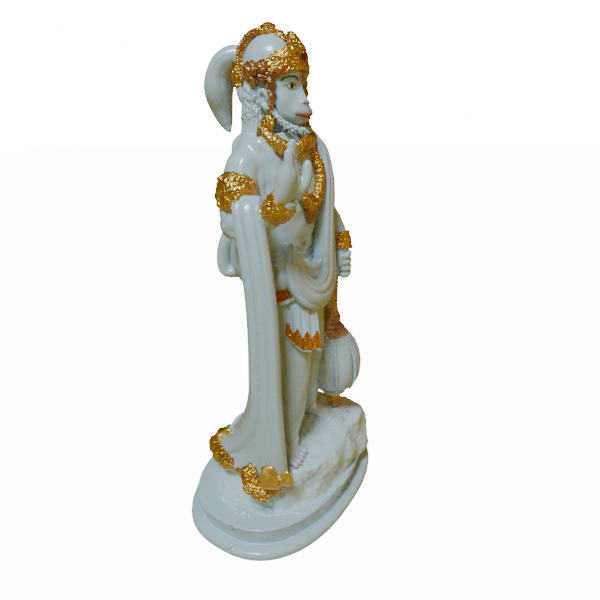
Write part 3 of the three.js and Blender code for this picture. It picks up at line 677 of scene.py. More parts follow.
HAND_TURN = radians(20)
ROW = array([math.cos(HAND_TURN), math.sin(HAND_TURN), 0])
PALM_OUT = array([math.sin(HAND_TURN), -math.cos(HAND_TURN), 0])
palm = roll([[-38.8, -24.6, 163], [-38.8, -29.2, 171], [-38.2, -31.2, 179], [-37.4, -32.4, 186]], [5, 7, 7.8, 6.6],
    [4.6, 5.2, 5.4, 3], across=tuple(ROW))
fingers = []
for n, tip in enumerate([191, 194.6, 195.6, 193.8]):
    base = array([-37, -32.6, 0]) + ROW * (n - 1.5) * 3.5 - PALM_OUT * 0.4 * abs(n - 1.6)
    fingers.append(roll([base + [0, 0, 176], base + [0.2, 0, 187], base - PALM_OUT * 0.2 + [0.5, 0, tip]],
        [2.5, 2.3, 1.9], fine=(24, 40), rounded=(0, 0.14)))
thumb_root = egg([-34.8, -32.2, 173], [5, 4.4, 6.4])
thumb = roll([[-34.6, -31.6, 169], [-31.2, -36.2, 175], [-29.6, -37, 185.8]], [4, 3, 2.2], fine=(24, 40),
    rounded=(0, 0.16))
piece("raised_hand", fused([palm, *fingers, thumb_root, thumb], 0.42, 3), white)

back_of_hand = egg([39, -18.5, 115], [7, 7.6, 11])
grip = [roll([[43.5, -19.5, z], [41.5, -25.4, z - 0.5], [36, -26.8, z - 1.2], [32.5, -24, z - 1.6]],
    [2.2, 2.35, 2.3, 2], across=(0, 0, 1), fine=(24, 40), rounded=(0, 0.15)) for z in 122 - arange(4) * 4.3]
grip_thumb = roll([[37, -20, 124], [34, -23.5, 120], [32.6, -24.4, 113]], [2.8, 2.6, 2], fine=(24, 30),
    rounded=(0, 0.2))
piece("mace_hand", fused([back_of_hand, *grip, grip_thumb], 0.5, 2), white)


# Bands on the arms

def hammered(t, a, size, height, seed, wide=9, deep=9, long=18):
    """Small lumps over a roll: pebbles on the band unrolled to that width, depth and length."""
    return height * pebbles(points(wide * cos(a), deep * sin(a), long * t), size, seed)


def armlet_carving(t, a):
    """Lumps, upright ribs in the lower half, and a rim of knobs."""
    lumps = 0.9 * hammered(t, a, 2.4, 1.1, 51) * step(t, 0.12, 0.25)
    ribs = 0.8 * pleats(13 * a / pi) * step(t, 0.45, 0.8)
    return lumps + ribs - 0.8 + 0.5 * bell(t, 0.3, 0.03) * cos(30 * a) - 1.6 * step(t, 0.93, 1)


def cuff(way, wide, seed, end=0):
    carving = lambda t, a: hammered(t, a, 2.1, 0.8, seed) - 0.5 + 0.5 * bell(t, 0.5, 0.08)
    return roll(way, wide, fine=(90, 38), carve=carving, rounded=(0, end))


right_cuff = cuff([[-39.2, -19, 158.8], [-39, -24.5, 162.4], [-38.6, -29.6, 166.8]], [7, 8, 7.9], 52, 0.12)
left_cuff = cuff([[43.2, -14.5, 133], [42.8, -16.5, 128], [41.6, -17.8, 122.8]], [9.9, 9.3, 9.9], 53)
armlet = roll([[-32.2, 5, 179.5], [-33.2, 5, 175], [-35, 5, 169], [-36.4, 4.6, 163], [-37.2, 5, 158.5]],
    [7.6, 10.6, 11.6, 10.6, 9.6], across=(0, 1, 0), fine=(140, 70), carve=armlet_carving, rounded=(0.12, 0))
piece("armlet", armlet, gold)
piece("cuffs", [right_cuff, left_cuff], gold)


# Wrap, its hem, and the fan of pleats

WRAP_FOLDS = 9
piece("wrap", roll([[0, 0, 131], [0, 0, 124], [-0.5, -1, 117], [-0.5, -2, 112], [0.5, -3, 105]],
    [20.5, 25, 27.6, 28.8, 30.2], [15.5, 18, 19.4, 20, 20.8], fine=(250, 72),
    carve=lambda t, a: (0.4 + 1.5 * t) * (pleats((a + 0.7 * t) * 2 * WRAP_FOLDS / TAU, 0.7) - 0.6)
    + 0.8 * bell(t, 0.97, 0.04) * cos(42 * a),
    marks={"gilt": lambda t, a: step(t, 0.74, 0.76) * fall(t, 0.89, 0.91)}), red_gilt_cloth)


FAN_PLEATS = 4
FAN_WAIST = [[-18, -13.2, 107], [-13, -21, 106], [-1, -25.5, 102]]
FAN_HEM = [[-22.6, -15.2, 85], [-19, -25.6, 75], [-9.5, -33, 74]]


def fan_point(s, t):
    """Knife pleats: straight lines from waist to hem, moved out by a saw tooth of s that grows with t."""
    saw = (s * FAN_PLEATS) % 1
    fold = sqrt(clip(1 - abs(2 * saw - 1) ** 3, 0, 1)) * (0.6 + 0.4 * saw)
    p = curve(FAN_WAIST, s) * (1 - t[..., None]) + curve(FAN_HEM, s) * t[..., None]
    away = unit(points(-0.9 + 0.6 * s, -0.5 - 0.5 * s, 0 * s))
    p = p + away * (3.4 * fold * t ** 0.7)[..., None]
    p[..., 2] -= 2.2 * abs(saw - 0.5) * t
    return p


def fan_gilt(s, t, h):
    """Gold on the face above the hem, reaching highest in the middle of each pleat."""
    reach = t - 0.76 + 0.17 * (1 - abs(2 * ((s * FAN_PLEATS) % 1) - 1))
    return step(reach, 0, 0.02) * (h > -0.5) * fall(t, 0.965, 0.975)


piece("fan", cloth(fan_point, 5.5, lambda s, t: points(0.9 - 0.5 * s, 0.5 + 0.4 * s, 0 * s), across=120, steps=70,
    marks={"gilt": fan_gilt}), gilt_cloth)


# Sash from the left shoulder, down to the thighs and up to the right hip

SASH_WAY = [[18, 14, 192.5], [20.6, 0, 195.6], [23, -14, 190.5], [21.5, -21, 174], [18.5, -23.5, 150],
    [16.5, -25, 128], [11, -28.5, 112.5], [1.3, -29, 105.8], [-8, -27.5, 107.2], [-14.6, -23.5, 114.5],
    [-17, -20.2, 126], [-18, -17.6, 139.5]]
SASH_HALF = [7, 7, 7, 7, 7, 8, 9.5, 9.5, 9, 7.8, 6, 1.4]


def ribbon(way, half, folds, depth, bulge=1.3, back=8, rounded=0.05, steps=200):
    """A band along its way that faces away from the trunk: its face bulges, with folds along its length."""
    t = linspace(0, 1, steps + 1)
    centre = curve(way, t)
    forward = heading(way, t, 1e-3)
    sideways = unit(cross(forward, unit(centre * [0.35, 1, 0])))
    face = unit(cross(sideways, forward))
    wide = (along(half, t) * ball_end(1 - t, rounded, 1e-3))[:, None]
    s = concatenate([linspace(-1, 1, 84), linspace(0.97, -0.97, 14)])[None]
    front = concatenate([ones(84), zeros(14)])[None]
    lean = 0.2 * sin(6 * t[:, None] + 1.5 * s) * (1 - s ** 2)
    wave = pleats(folds / 2 * s + lean + 0.5 * folds, 0.75)
    lift = front * (bulge * (1 - abs(s) ** 2.6) + depth * (wave - 0.6)) - (1 - front) * back
    return skin(centre[:, None] + sideways[:, None] * (s * wide)[..., None] + face[:, None] * lift[..., None])


sash = ribbon(SASH_WAY, SASH_HALF, 3, 0.8, bulge=2.5, rounded=0.07)
inner_fold = ribbon([[17, -21, 150], [15.4, -23, 132], [9, -24.2, 120], [1, -23.5, 117], [-6, -22, 120],
    [-11, -19.5, 129], [-13.5, -17, 138]], [3.5, 4.5, 5, 4.6, 3.4, 2.2, 1.2], 2, 0.7, back=6, steps=80)
piece("sash", [sash, inner_fold], white)


# Scarf over the right forearm, with its gold hem spread on the rock

FALL = {"centre": [-1, -4.5, -8.6, -13.6, -16.8, -17.6, -17.4], "half": [7, 9, 9.6, 9.8, 10, 10.4, 11],
    "out": [-29, -38.5, -46, -48.4, -48.8, -49, -49.5], "height": [162.5, 168, 160.5, 138, 112, 86, 58]}
HEM_TURN = [1.72, 1.95, 2.25, 2.54, 2.85, 3.11, 3.24, 3.41, 3.54, 3.66, 3.8]
HEM_LEVEL = [0.5, 0.6, 0.76, 0.84, 0.88, 0.9, 0.8, 0.65, 0.55, 0.66, 0.84]
SCARF_PLEATS = 3
FALL_SHARE = 0.6


def scarf_point(s, t):
    """Pleated fall from the forearm, then a quadratic bend over the rock's edge that leads it to the hem."""
    fold = SCARF_PLEATS * s ** 0.85 + 0.07 * sin(6 * t + 4 * s) + 0.25
    pleat = (1.7 + 1.2 * t) * (pleats(fold, 0.55) - 0.75) + 0.24 * (pleats(2.3 * fold + 0.2 * sin(9 * t), 1.2) - 0.5)
    down = minimum(1, t / FALL_SHARE)
    side = along(FALL["centre"], down) + (1 - 2 * s) * along(FALL["half"], down)
    out = along(FALL["out"], down) - pleat * minimum(1, 5 * t) - 1.5 * sin(pi * s)
    column = points(out, side, along(FALL["height"], down))
    u = clip((t - FALL_SHARE) / (1 - FALL_SHARE), 0, 1)[..., None]
    left = (1 - s) ** 3
    edge = column * [1, 1.12, 0] + points(-1.5 + 7 * left, 3 * (1 - s) ** 2 + 5 * left, 2 + 29 * left)
    low = mound_point(along(HEM_TURN, s), along(HEM_LEVEL, s), 3.4 + 1.2 * pleat) - STAND
    bend = column * (1 - u) ** 2 + edge * 2 * u * (1 - u) + low * u ** 2
    return np.where(u > 0, bend, column)


def scarf_through(s, t):
    return points(minimum(1, 4 * t), 0 * t, -maximum(0, 1 - 4 * t) - 0.8 * step(t, 0.8, 1)) + 1e-6


piece("scarf", cloth(scarf_point, 5, scarf_through, across=110, steps=260), pitted_white)


def hem():
    """The gold hem: a broad ruffled roll along the scarf's lower edge, whose folds swell and pinch along it."""
    way = mound_point(array(HEM_TURN), array(HEM_LEVEL), 2.6) - STAND
    return roll(way, [3, 4.8, 5.4, 5.4, 4.6, 2.4, 4.4, 5.2, 4.2, 2.8, 1.8],
        [2.6, 3.8, 4.2, 4.4, 3.6, 2.2, 3.4, 4, 3.2, 2.2, 1.4], across=(0, 0, 1), fine=(70, 270),
        carve=lambda t, a: 1.9 * pleats(9 * t + 0.18 * sin(a), 0.8) - 1.5 + hammered(t, a, 2.6, 0.9, 83, 5, 5, 118),
        rounded=(0.03, 0.03))


LEAF_OUT = array([-0.8, -0.46, 0.38])


def hem_leaf(centre, wide, tall, thick, turn, rough=0):
    """A rounded square flap of the hem, turned in its own plane, with a curled rim and ruffles of height rough."""
    out = LEAF_OUT / np.linalg.norm(LEAF_OUT)
    right = unit(cross([0, 0, 1], out))
    up = cross(out, right)
    right, up = right * math.cos(turn) + up * math.sin(turn), up * math.cos(turn) - right * math.sin(turn)
    r, a = grid(concatenate([linspace(0.04, 1, 16), linspace(1, 0.04, 12)[1:]]), turns(64))
    square = 1 / (abs(cos(a)) ** 3 + abs(sin(a)) ** 3) ** (1 / 3) * (1 + 0.07 * cos(3 * a + turn * 9)
        + 0.04 * cos(5 * a + 1))
    front = concatenate([ones(16), zeros(11)])[:, None]
    curl = 1.5 * (r * cos(a - 0.9)) ** 2 * np.sign(cos(a - 0.9)) + 0.6 * cos(2.4 * r * sin(a) + 0.5)
    lift = front * (thick * (1 - r ** 8) + curl) + (1 - front) * (curl - 2.4 * (1 - r ** 8))
    lift = lift + front * rough * pleats(3 * r * cos(a + 0.6) + 0.4 * sin(5 * a), 0.8) * (1 - r ** 8)
    return skin(array(centre) + right * (r * square * wide * cos(a))[..., None]
        + up * (r * square * tall * sin(a))[..., None] + out * lift[..., None])


RUFFLED = [((-54.6, -9.4, -1.4), 6.2, 7.6, 2.8, 0.3, 1.6), ((-56.4, -15.6, -9), 9.2, 5, 2.6, -0.35, 1.2),
    ((-48.6, 15.4, -6.2), 4.6, 5.6, 2.4, 0.5, 1.4)]
SMOOTH = [((-56.2, -24.8, 5.2), 5.4, 7.6, 1.6, 0.16), ((-50.6, -31.6, 3.2), 5.6, 4.6, 1.4, 0.35),
    ((-30, 33.4, -3.4), 6.4, 3.8, 1.6, 0.45)]
piece("scarf_hem", [hem(), *[hem_leaf(*leaf) for leaf in RUFFLED]], gold)
piece("hem_leaves", [hem_leaf(*leaf) for leaf in SMOOTH], smooth_gold)


# Tail, its ring and its tuft

tail = roll([[0, 8, 130], [-7, 24, 117], [-14.5, 32.6, 116.5], [-15.5, 33.2, 128], [-11, 27, 146], [-4, 22, 164],
    [-1, 20.5, 184], [0, 15, 204], [0, 16.5, 212.5], [0, 22.4, 218.5], [0, 24.6, 226]],
    [7, 7, 7, 6.6, 6.6, 6.2, 6, 5.6, 5.4, 5.2, 5], [7, 6.4, 4.6, 4.6, 5.6, 6, 6, 5.6, 5.4, 5.2, 5], fine=(40, 140))
tuft = roll([[0, 22.5, 236.5], [-0.8, 27.5, 239.2], [-2.2, 33.4, 237.4], [-2, 38.8, 231.5], [-1.6, 42, 222.5],
    [1, 42.6, 212.5], [2.4, 41, 204], [2.4, 38.6, 198.6]], [5, 6.6, 8.4, 9.6, 9.4, 6.6, 3.8, 1.2],
    [5.2, 6, 6.6, 7.4, 8.2, 7, 4.2, 1.2], fine=(88, 80),
    carve=lambda t, a: 0.22 * (pleats(5.5 * a / pi + 1.2 * t, 0.6) - 0.6) * step(t, 0.05, 0.3), rounded=(0, 0.05))
piece("tail", [tail, tuft], white)
piece("tail_ring", roll([[0, 25.2, 223.2], [0, 25, 229.5], [0, 24.8, 236]], [5.6, 6.4, 6], fine=(72, 28),
    carve=lambda t, a: 0.5 * cos(14 * a) * sin(pi * t) + 0.5 * (bell(t, 0.04, 0.05) + bell(t, 0.96, 0.05)) - 0.3), gold)


# Head: face, hair, ears and the fringe of fur along the jaw

FRONT = 1.5 * pi
FACE_HEIGHT = [199.4, 200.4, 202.4, 205, 208, 212, 216, 220, 224, 228, 231]
FACE_REACH = [5, 12, 15.2, 16.6, 16.8, 16.4, 15.8, 15.6, 16.4, 17.4, 17.4]


def head():
    """A head worked out in level rings: an oval skull, and before it a profile line that fades into the cheeks;
    with brow ridge, eye hollows, lids, nostrils, cheeks, and the paint marks, among them a painted highlight in each
    eye."""
    lift = concatenate([linspace(-pi / 2 + 0.002, 0.4, 184), linspace(0.4, pi / 2 - 0.01, 15)[1:]])
    u = linspace(-1, 1, 190, endpoint=False)
    h, off = grid(sin(lift), pi * u * (0.4 + 0.6 * u ** 2))
    a = FRONT + off
    z = 223 + 23.5 * h
    wide = abs(off)
    flat = sqrt(1 - h ** 2)
    jaw = 1 + 0.34 * bell(z, 205, 7) * bell(wide, 0.75, 0.6) + 0.1 * bell(z, 214, 6) * bell(wide, 0.85, 0.35)
    skull = 1 / sqrt((cos(a) / 14.6) ** 2 + (sin(a) / 16.2) ** 2) * flat * jaw
    reach = sum(interp(z + d, FACE_HEIGHT, FACE_REACH) for d in (-1.6, -0.8, 0, 0.8, 1.6)) / 5
    inside = step(z, 199.2, 201.5) * fall(z, 228, 231)
    r = skull + maximum(reach - skull, -1.5) * np.exp(-(wide / 0.75) ** 2.6) * inside
    r += 5.4 * np.exp(-((wide / 0.44) ** 2 + ((z - 208.4) / 5.2) ** 2) ** 1.25)
    r += (0.5 + 2.6 * fall(z, 214, 225)) * bell(wide, 0, 0.12) * step(z, 211.6, 213.6) * fall(z, 223, 227)
    r += 1.2 * bell(z, 214, 1.5) * bell(wide, 0.13, 0.075) - 0.8 * bell(z, 212.6, 0.6) * bell(wide, 0.11, 0.045)
    r += 0.9 * bell(z, 226.4, 1.8) * bell(wide, 0.44, 0.24)
    eye = hypot((wide - 0.42) / 0.17, (z - 221.4) / (1.35 - 0.8 * (wide - 0.42)))
    r += -1.6 * bell(hypot((wide - 0.38) / 0.25, (z - 221.6) / 3.2), 0, 1) + 1.3 * bell(eye, 0, 0.85)
    r += 0.35 * bell(eye, 1, 0.22) + 0.9 * bell(z, 214.5, 4) * bell(wide, 0.66, 0.26)
    smile = 206.2 + 5.5 * wide ** 2
    r += -0.8 * bell(z, smile, 0.4) * fall(wide, 0.36, 0.46) + 0.5 * bell(z, smile - 1.5, 0.9) * bell(wide, 0, 0.26)
    r += -0.5 * bell(wide, 0, 0.03) * bell(z, 210.4, 1.6) + 0.7 * bell(z, 202.6, 1.8) * bell(wide, 0, 0.3)
    rings = points(r * cos(a), 1 + r * sin(a), z)
    brow_at = 225.9 - 17 * (wide - 0.46) ** 2
    black = bell(z, brow_at, 0.58) * step(wide, 0.15, 0.2) * fall(wide, 0.78, 0.86)
    black = maximum(black, bell(eye, 1.04, 0.2) * (0.25 + 0.75 * step(z, 221.2, 221.8)))
    black = maximum(black, bell(z, 221.6 - 1.2 * (wide - 0.58), 0.26) * step(wide, 0.56, 0.6) * fall(wide, 0.72, 0.78))
    iris = hypot((wide - 0.4) * 17, z - 221.6)
    black = maximum(black, fall(iris, 1.35, 1.6) * fall(eye, 0.95, 1.05))
    # Painted highlight: a small catchlight spot kept clear of the black in each iris.
    black *= 1 - step(hypot((wide - 0.38) * 17, z - 222.1), 0.3, 0.15)
    red = bell(off, 0, 0.06) * step(z, 221.6, 222.8) + 0.9 * bell(wide, 0.14, 0.022) * step(z, 223.2, 224.2)
    lips = bell(z, smile, 1.4) * fall(wide, 0.36, 0.46) + 0.5 * bell(z, 209.6, 2.4) * bell(wide, 0, 0.34)
    nose_tip = 0.75 * bell(hypot(off / 0.24, (z - 213.2) / 1.9), 0, 1)
    pink = clip(0.95 * lips + 0.8 * nose_tip, 0, 1)
    return skin(rings, black=clip(black, 0, 1), red=clip(red, 0, 1), pink=pink)


piece("head", head(), face_paint)

hair = roll([[0, 9, 190], [0, 9, 201], [0, 8.5, 212], [0, 6.4, 224], [0, 5.5, 238]], [19, 16, 15.2, 15, 11],
    [14, 13, 13, 12, 10.5], fine=(160, 80),
    carve=lambda t, a: 1.1 * (pleats(13 * a / pi + 0.7 * sin(7 * t), 0.7) - 0.6))


def locks(roots, aims, length, thick):
    """Pointed locks of fur: one tapering drop, set at each root along its own aim."""
    one = roll([[0, 0, 0], [0, 0.12, 0.4], [0, 0.06, 1]], [0.9, 1, 0.16], fine=(6, 6), rounded=(0.25, 0.1))
    aims = unit(aims)
    side = unit(cross(aims, [0.3, 0.2, 1]))
    x, y, z = one["v"].T[..., None]
    return copies(one, roots[:, None] + side[:, None] * (x * thick) + cross(side, aims)[:, None] * (y * thick)
        + aims[:, None] * z * length[:, None, None])


def side_locks(side):
    """Curls of hair below and behind the ear."""
    turn, height = rng.uniform(-0.5, 0.6, 64), rng.uniform(206, 223, 64)
    root = points(side * 15 * cos(turn), 6.6 + 0.14 * (224 - height) + 12.2 * sin(turn), height)
    aim = points(0.04 * side * cos(turn), 0.03 * sin(turn) + rng.normal(0, 0.22, 64), rng.uniform(-1.2, -0.9, 64))
    return locks(root, aim, rng.uniform(4, 6.5, 64), 1.45)


piece("hair", [hair, side_locks(-1), side_locks(1)], white)


def to_side(side, at):
    """Points written for the left side, put on the side asked for."""
    return array(at) * [side, 1, 1]


def ear(side):
    """Rim as a roll along a curl, lobe and bowl as eggs."""
    rim = roll(to_side(side, [[15.6, -4.6, 212.6], [16.8, -4.2, 216.4], [17.2, -1.6, 219.2], [17, 0.6, 216.4],
        [16.4, -0.4, 213], [15.8, -2.6, 210.6]]), [1, 1.2, 1.2, 1.2, 1.2, 1.3], fine=(16, 40), rounded=(0.1, 0.1))
    bowl = egg(to_side(side, [14.8, -2, 215]), [1.8, 2.8, 4.4])
    return [rim, bowl, egg(to_side(side, [15.9, -2.8, 210.8]), [1.6, 1.7, 2])]


piece("ears", fused([*ear(-1), *ear(1)], 0.34, 2), white)


def fringe():
    """Fur along the jaw: three rows of short locks from ear to ear under the chin, swept down and outward."""
    way = [[-13.8, -3, 214], [-14, -7, 208.5], [-12, -11, 203.6], [-7.4, -14.6, 200.8], [0, -16.4, 199.8],
        [7.4, -14.6, 200.8], [12, -11, 203.6], [14, -7, 208.5], [13.8, -3, 214]]
    rows = []
    for n, lift in enumerate((0.6, 0, -0.9)):
        t = linspace(0.01 + 0.004 * n, 0.99, 84)
        root = curve(way, t) + [0, -0.3, lift] + rng.normal(0, 0.22, (84, 3))
        aim = unit(root * [1, 1, 0] + [0, 0.5, 0]) * 0.8 + array([0, 0, -0.9]) + rng.normal(0, 0.22, (84, 3))
        rows.append(locks(root, aim, rng.uniform(2, 3.4, 84), 0.75))
    return rows


piece("jaw_fringe", fringe(), white)


# Crown

def tiara():
    """A plate that wraps the brow: its lower edge runs level, its upper edge rises to a point in front,
    and its face carries two rims of beads and rounded scrolls."""
    a = linspace(-2.9, 2.9, 310)
    off = abs(a)
    low = along([229.2, 228.4, 226.4, 224.4, 223.4, 223.2, 223.2, 223.2], off / 2.9)
    top = sum(interp(off / 2.9 + d, [0, 0.07, 0.13, 0.22, 0.29, 0.37, 0.41, 0.52, 0.65, 1],
        [248.4, 247.6, 245.2, 240.8, 238.6, 237.4, 234.4, 233, 233.4, 233.2]) for d in (-0.015, 0, 0.015)) / 3
    v = concatenate([linspace(0, 1, 48), linspace(1, 0, 6)])
    aa, vv = grid(a, v)
    z = low[:, None] + (top - low)[:, None] * vv
    x_half = interp(z, [220, 223, 229, 235, 240, 248], [15.4, 16, 16.8, 16.2, 14.6, 9])
    y_half = interp(z, [220, 223, 229, 233, 239, 244, 248.5], [16.4, 17.2, 18.4, 18.1, 17, 14, 10.2])
    p = points(14 * aa, z, 0 * z)
    rim = bell(vv, 0.06, 0.05) + bell(vv, 0.95, 0.05)
    bent = p + 0.8 * points(swell(p, 5, 64), swell(p, 5, 65), 0 * aa)
    scroll = pebbles(bent, 3.6, 61) ** 0.7 + 0.45 * pebbles(p, 1.6, 62) - 0.3
    relief = np.where(arange(54) < 48, -0.1 + rim * (0.6 + 0.4 * cos(95 * aa)) + 1.5 * scroll * (1 - rim), -2.4)
    return skin(points((x_half + relief) * sin(aa), 1.2 - (y_half + relief) * cos(aa), z))


piece("crown_front", tiara(), gold)
piece("crown_dome",
    egg([0, 4.6, 232], [14.4, 16, 16.8], fine=(80, 50), carve=lambda h, a: 0.012 * cos(8 * a) * (1 - h ** 2)), white)

CREST_WAY = [[0, -8, 243], [0, -3, 246], [0, 4, 247.6], [0, 12.6, 247.8], [0, 19.8, 242.6], [0, 21.4, 234],
    [0, 20.2, 225]]
CREST_HALF = [2.4, 3.4, 5, 6.4, 7.6, 7.8, 6.6]
crest = roll(CREST_WAY, CREST_HALF, [1.8, 2.4, 3, 4, 4.4, 4.2, 3.6], fine=(44, 230),
    carve=lambda t, a: hammered(t, a, 2.4, 0.5, 84, 5, 4, 62) + 0.5 * pleats(24 * t, 0.6) + 0.4 * cos(6 * a) - 0.8)
knob = roll([[0, 5.5, 246.5], [0, 5.5, 249.4], [0, 5.5, 250.8], [0, 5.6, 252], [0, 5.6, 254.1]],
    [7, 7.2, 3.8, 4.2, 2.6], [7.4, 7.8, 3.8, 4.4, 2.8], fine=(70, 36), carve=lambda t, a: 0.3 * cos(14 * a)
    + 0.5 * bell(t, 0.22, 0.06), rounded=(0, 0.25))
boss = egg([0, 23.4, 241], [3.6, 3, 3.4], carve=lambda h, a: 0.06 * cos(8 * a))
t_beads = linspace(0.04, 0.97, 34)
edge = np.outer(along(CREST_HALF, t_beads), [1, 0, 0])
edge_beads = [bead_row(curve(CREST_WAY, t_beads) + side * edge, 1.15, (8, 5)) for side in (-1, 1)]
piece("crest", [crest, knob, boss, *edge_beads], worn_gold)


LOOPS = [([15.4, 6.6, 229.6], [3.4, 4.4, 4.8], 0.5), ([16, -1.4, 230], [3.2, 4, 3.8], -0.6),
    ([15.6, 4.6, 224.8], [2.6, 2.6, 4.2], 0.3), ([16, -0.6, 225.4], [2.4, 2.2, 3.6], -0.3)]


def rosette(side):
    """Side ornament: a bow of four fluted loops round a knot."""
    flutes = lambda h, a: 0.12 * (pleats(4 * a / pi, 0.7) - 0.5) + 0.05 * cos(9 * h)
    loops = [egg(to_side(side, at), reach, fine=(48, 26), carve=flutes, lean=(tilt, "X")) for at, reach, tilt in LOOPS]
    return [*loops, egg(to_side(side, [18.2, 2.6, 228.6]), [2, 2.2, 2.6], fine=(36, 20),
        carve=lambda h, a: 0.08 * cos(7 * a))]


def strand(side):
    """A twisted cord hanging before the ear: two ridges that turn as they go down."""
    return roll(to_side(side, [[16, -6.5, 228], [16.8, -7, 221], [16.2, -6.5, 213], [16.2, -5.5, 209]]),
        [2, 1.9, 1.7, 1.2], fine=(26, 76), carve=lambda t, a: 0.45 * cos(2 * (a + 13 * t)), rounded=(0, 0.08))


def earring(side):
    """A carved drop: seven ribs round it and four rings down it."""
    return egg(to_side(side, [16.4, -4, 202.8]), [3.4, 4.2, 4.8], fine=(48, 34),
        carve=lambda h, a: 0.07 * cos(7 * a) * (1 - h ** 2) + 0.05 * cos(8 * pi * h))


piece("rosettes", [*rosette(-1), *rosette(1)], copper)
piece("strands", [strand(-1), strand(1)], copper)
piece("earrings", [earring(-1), earring(1)], gold)
piece("crown_stone", egg([-2.2, -18.4, 235.8], [1.6, 1.5, 2.4], fine=(32, 20)), ruby)


# Collar, garland and pendant

COLLAR_WAY = [[-13.6, 3, 199.6], [-18.6, -1.8, 197.4], [-19.4, -7.4, 195], [-16.6, -13.4, 190.6], [-9, -16.8, 189.4],
    [0, -17, 192], [9, -15.6, 192.6], [15.2, -11.6, 194], [18.2, -6.5, 196], [19.2, 0, 198], [18.6, 6, 199.5]]
piece("collar", roll(COLLAR_WAY, [3.6, 4, 4, 4.2, 4.4, 5, 4.6, 4.6, 4.2, 3.8, 3],
    [2.4, 2.6, 3, 2.9, 2.6, 2.6, 2.6, 2.6, 2.6, 2.4, 2.4], across=(0, -0.5, 1), fine=(56, 240),
    carve=lambda t, a: 0.55 * pleats(30 * t, 0.6) * (0.4 + 0.6 * abs(sin(2 * a))) + hammered(6 * t, a, 2.2, 0.5, 72)
    - 0.5), gold)
GARLAND_WAY = [[-13, -11, 191], [-13, -17.5, 180], [-10, -20.6, 167], [0, -21.6, 158], [9, -21.2, 167],
    [11, -19.8, 180], [11, -13, 191]]
piece("garland", roll(GARLAND_WAY, [2.5, 2.8, 3, 3, 3, 2.8, 2.5], across=(0, -1, 0), fine=(40, 280),
    carve=lambda t, a: 0.7 * pleats(30 * t + 0.5 * np.floor(a / TAU * 3) / 3, 0.7) + hammered(9 * t, a, 1.8, 0.6, 73)
    - 0.6), gold)
piece("pendant", egg([0.2, -20.6, 156.5], [6.2, 3.6, 9], fine=(84, 70),
    carve=lambda h, a: hammered(h, a, 2, 0.12, 71, 6.2, 3.6, 9) - 0.05 - 0.25 * step(-h, 0.1, 1)), copper)


# Mace

MACE_TOP, MACE_LEAN, MACE_LOBES, MACE_TURN = 112, 5.4, 8, radians(14)
MACE_PROFILE = [[0.1, 0.2], [3.4, 2], [5.6, 6.5], [4.8, 12], [9, 15], [9.6, 18], [15.4, 22.5], [19.2, 29.5],
    [20.4, 38], [19.4, 47.5], [16.4, 56], [12.8, 62], [11.4, 64.6], [6.4, 70.5], [6.6, 74.5], [5, 80], [4.5, 112],
    [0.1, 112]]


def on_mace(r, z, a):
    """Point at radius r, height z and angle a about the mace's own leaning axis."""
    return points(r * cos(a) + 37.4, r * sin(a) - 18.7 + MACE_LEAN * z / MACE_TOP, z + 0 * a)


def turned(profile, around, steps, carve):
    """A profile of radius and height turned about the mace's axis."""
    line = curve([[r, 0, z] for r, z in profile], linspace(0, 1, steps + 1))
    r, z = maximum(line[:, 0], 0.05)[:, None], line[:, 2][:, None]
    a = turns(around)[None]
    return skin(on_mace(r * (1 + carve(z, a)), z, a))


def melon(z, a):
    """Full lobes with a groove between them, shallower towards the ends, and a raised rim round the shoulder."""
    inside = sin(pi * clip((z - 18) / 42, 0, 1))
    return 0.17 * inside ** 0.7 * (abs(cos(MACE_LOBES * (a - MACE_TURN) / 2)) ** 0.5 - 0.9) + 0.05 * bell(z, 59.2, 0.7)


def mace_beads(heights, angles, out, size):
    """A bead at each height and angle, its middle out mm proud of the profile."""
    z, a = (v.ravel() for v in grid(heights, angles))
    radii, heights = array(MACE_PROFILE).T
    return bead_row(on_mace(interp(z, heights, radii) + out, z, a), size, (7, 5))


mace_head = turned(MACE_PROFILE[4:12], 192, 84, melon)
chain = mace_beads(linspace(22, 57, 20), (arange(MACE_LOBES) + 0.5) / MACE_LOBES * TAU + MACE_TURN, 0, 1.3)
piece("mace_head", [mace_head, chain, mace_beads([61.2], turns(30), 0.2, 0.6), mace_beads([17], turns(26), 0.1, 0.8)],
    white)
piece("mace_foot", turned(MACE_PROFILE[:5], 64, 40, lambda z, a: 0.07 * cos(9 * a) * bell(z, 6, 4)), gold)
piece("mace_handle", turned(MACE_PROFILE[11:], 60, 210, lambda z, a: 0.14 * pleats(0.36 * z, 0.7) * step(z, 65, 68)
    + 0.05 * cos(14 * a) * bell(z, 63.6, 2) - 0.06), handle_copper)


# Lights, backdrop and world

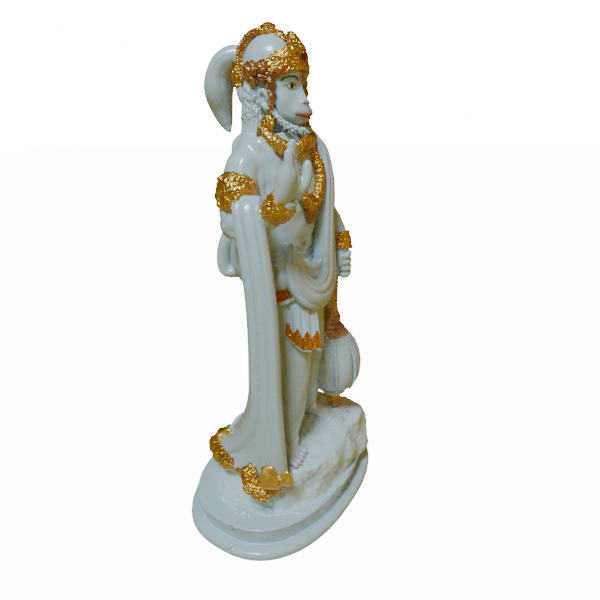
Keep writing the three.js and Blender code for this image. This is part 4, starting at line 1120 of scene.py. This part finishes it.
SEEN_WHITE = 16
FLOOR_RINGS = (10, 400, 9000)


def area_light(name, at, aim, size, power, colour):
    data = bpy.data.lights.new(name, "AREA")
    data.shape, data.size, data.energy, data.color = "DISK", size, power, colour
    at, aim = Vector(at), Vector(aim)
    placed(name, data).matrix_world = Matrix.Translation(at) @ (aim - at).to_track_quat("-Z", "Y").to_matrix().to_4x4()


def set_light():
    """A broad cool key from the camera's left and high above, and a dim warm room round it."""
    middle = Vector((0, 0, 0.15))
    toward = Vector((-0.545, -0.111, 0.831)).normalized()
    area_light("key", middle + 1.4 * toward, middle, 0.36, 21.5, (0.57, 0.86, 1))
    area_light("sparkle", middle + Vector((-0.9, -0.45, 0.75)), middle, 0.05, 1.2, (0.8, 0.94, 1))
    area_light("warm_fill", (0.55, -1.1, 0.3), middle, 0.8, 1.9, (1, 0.64, 0.1))
    world = bpy.data.worlds.new("room")
    bpy.context.scene.world = world
    world.use_nodes = True
    tree = world.node_tree
    room, seen = tree.nodes["Background"], node(tree, "Background", Color=(1, 1, 1), Strength=SEEN_WHITE)
    fill(tree, room.inputs, Color=(1, 0.6, 0.04), Strength=0.15)
    mix = node(tree, "MixShader", Fac=node(tree, "LightPath").outputs["Is Camera Ray"])
    tree.links.new(room.outputs[0], mix.inputs[1])
    tree.links.new(seen.outputs[0], mix.inputs[2])
    fill(tree, tree.nodes["World Output"].inputs, Surface=mix.outputs[0])


def backdrop():
    """A pale floor, a large round sheet just under the plinth, seen a little brighter than it is lit."""
    a = turns(96)
    whole = skin(np.stack([points(r * cos(a), r * sin(a), 0 * a - 0.02) for r in FLOOR_RINGS]))
    whole["t"] = whole["t"][:len(a)]
    m, tree, shader = material_named("pale_floor")
    fill(tree, shader, Base_Color=(0.5, 0.35, 0.09), Roughness=0.9, Emission_Color=(1, 1, 1),
        Emission_Strength=maths(tree, "MULTIPLY", node(tree, "LightPath").outputs["Is Camera Ray"], SEEN_WHITE * 0.9))
    floor = placed("floor", mesh_of("floor", whole, MM))
    floor.data.materials.append(m)


set_light()
backdrop()
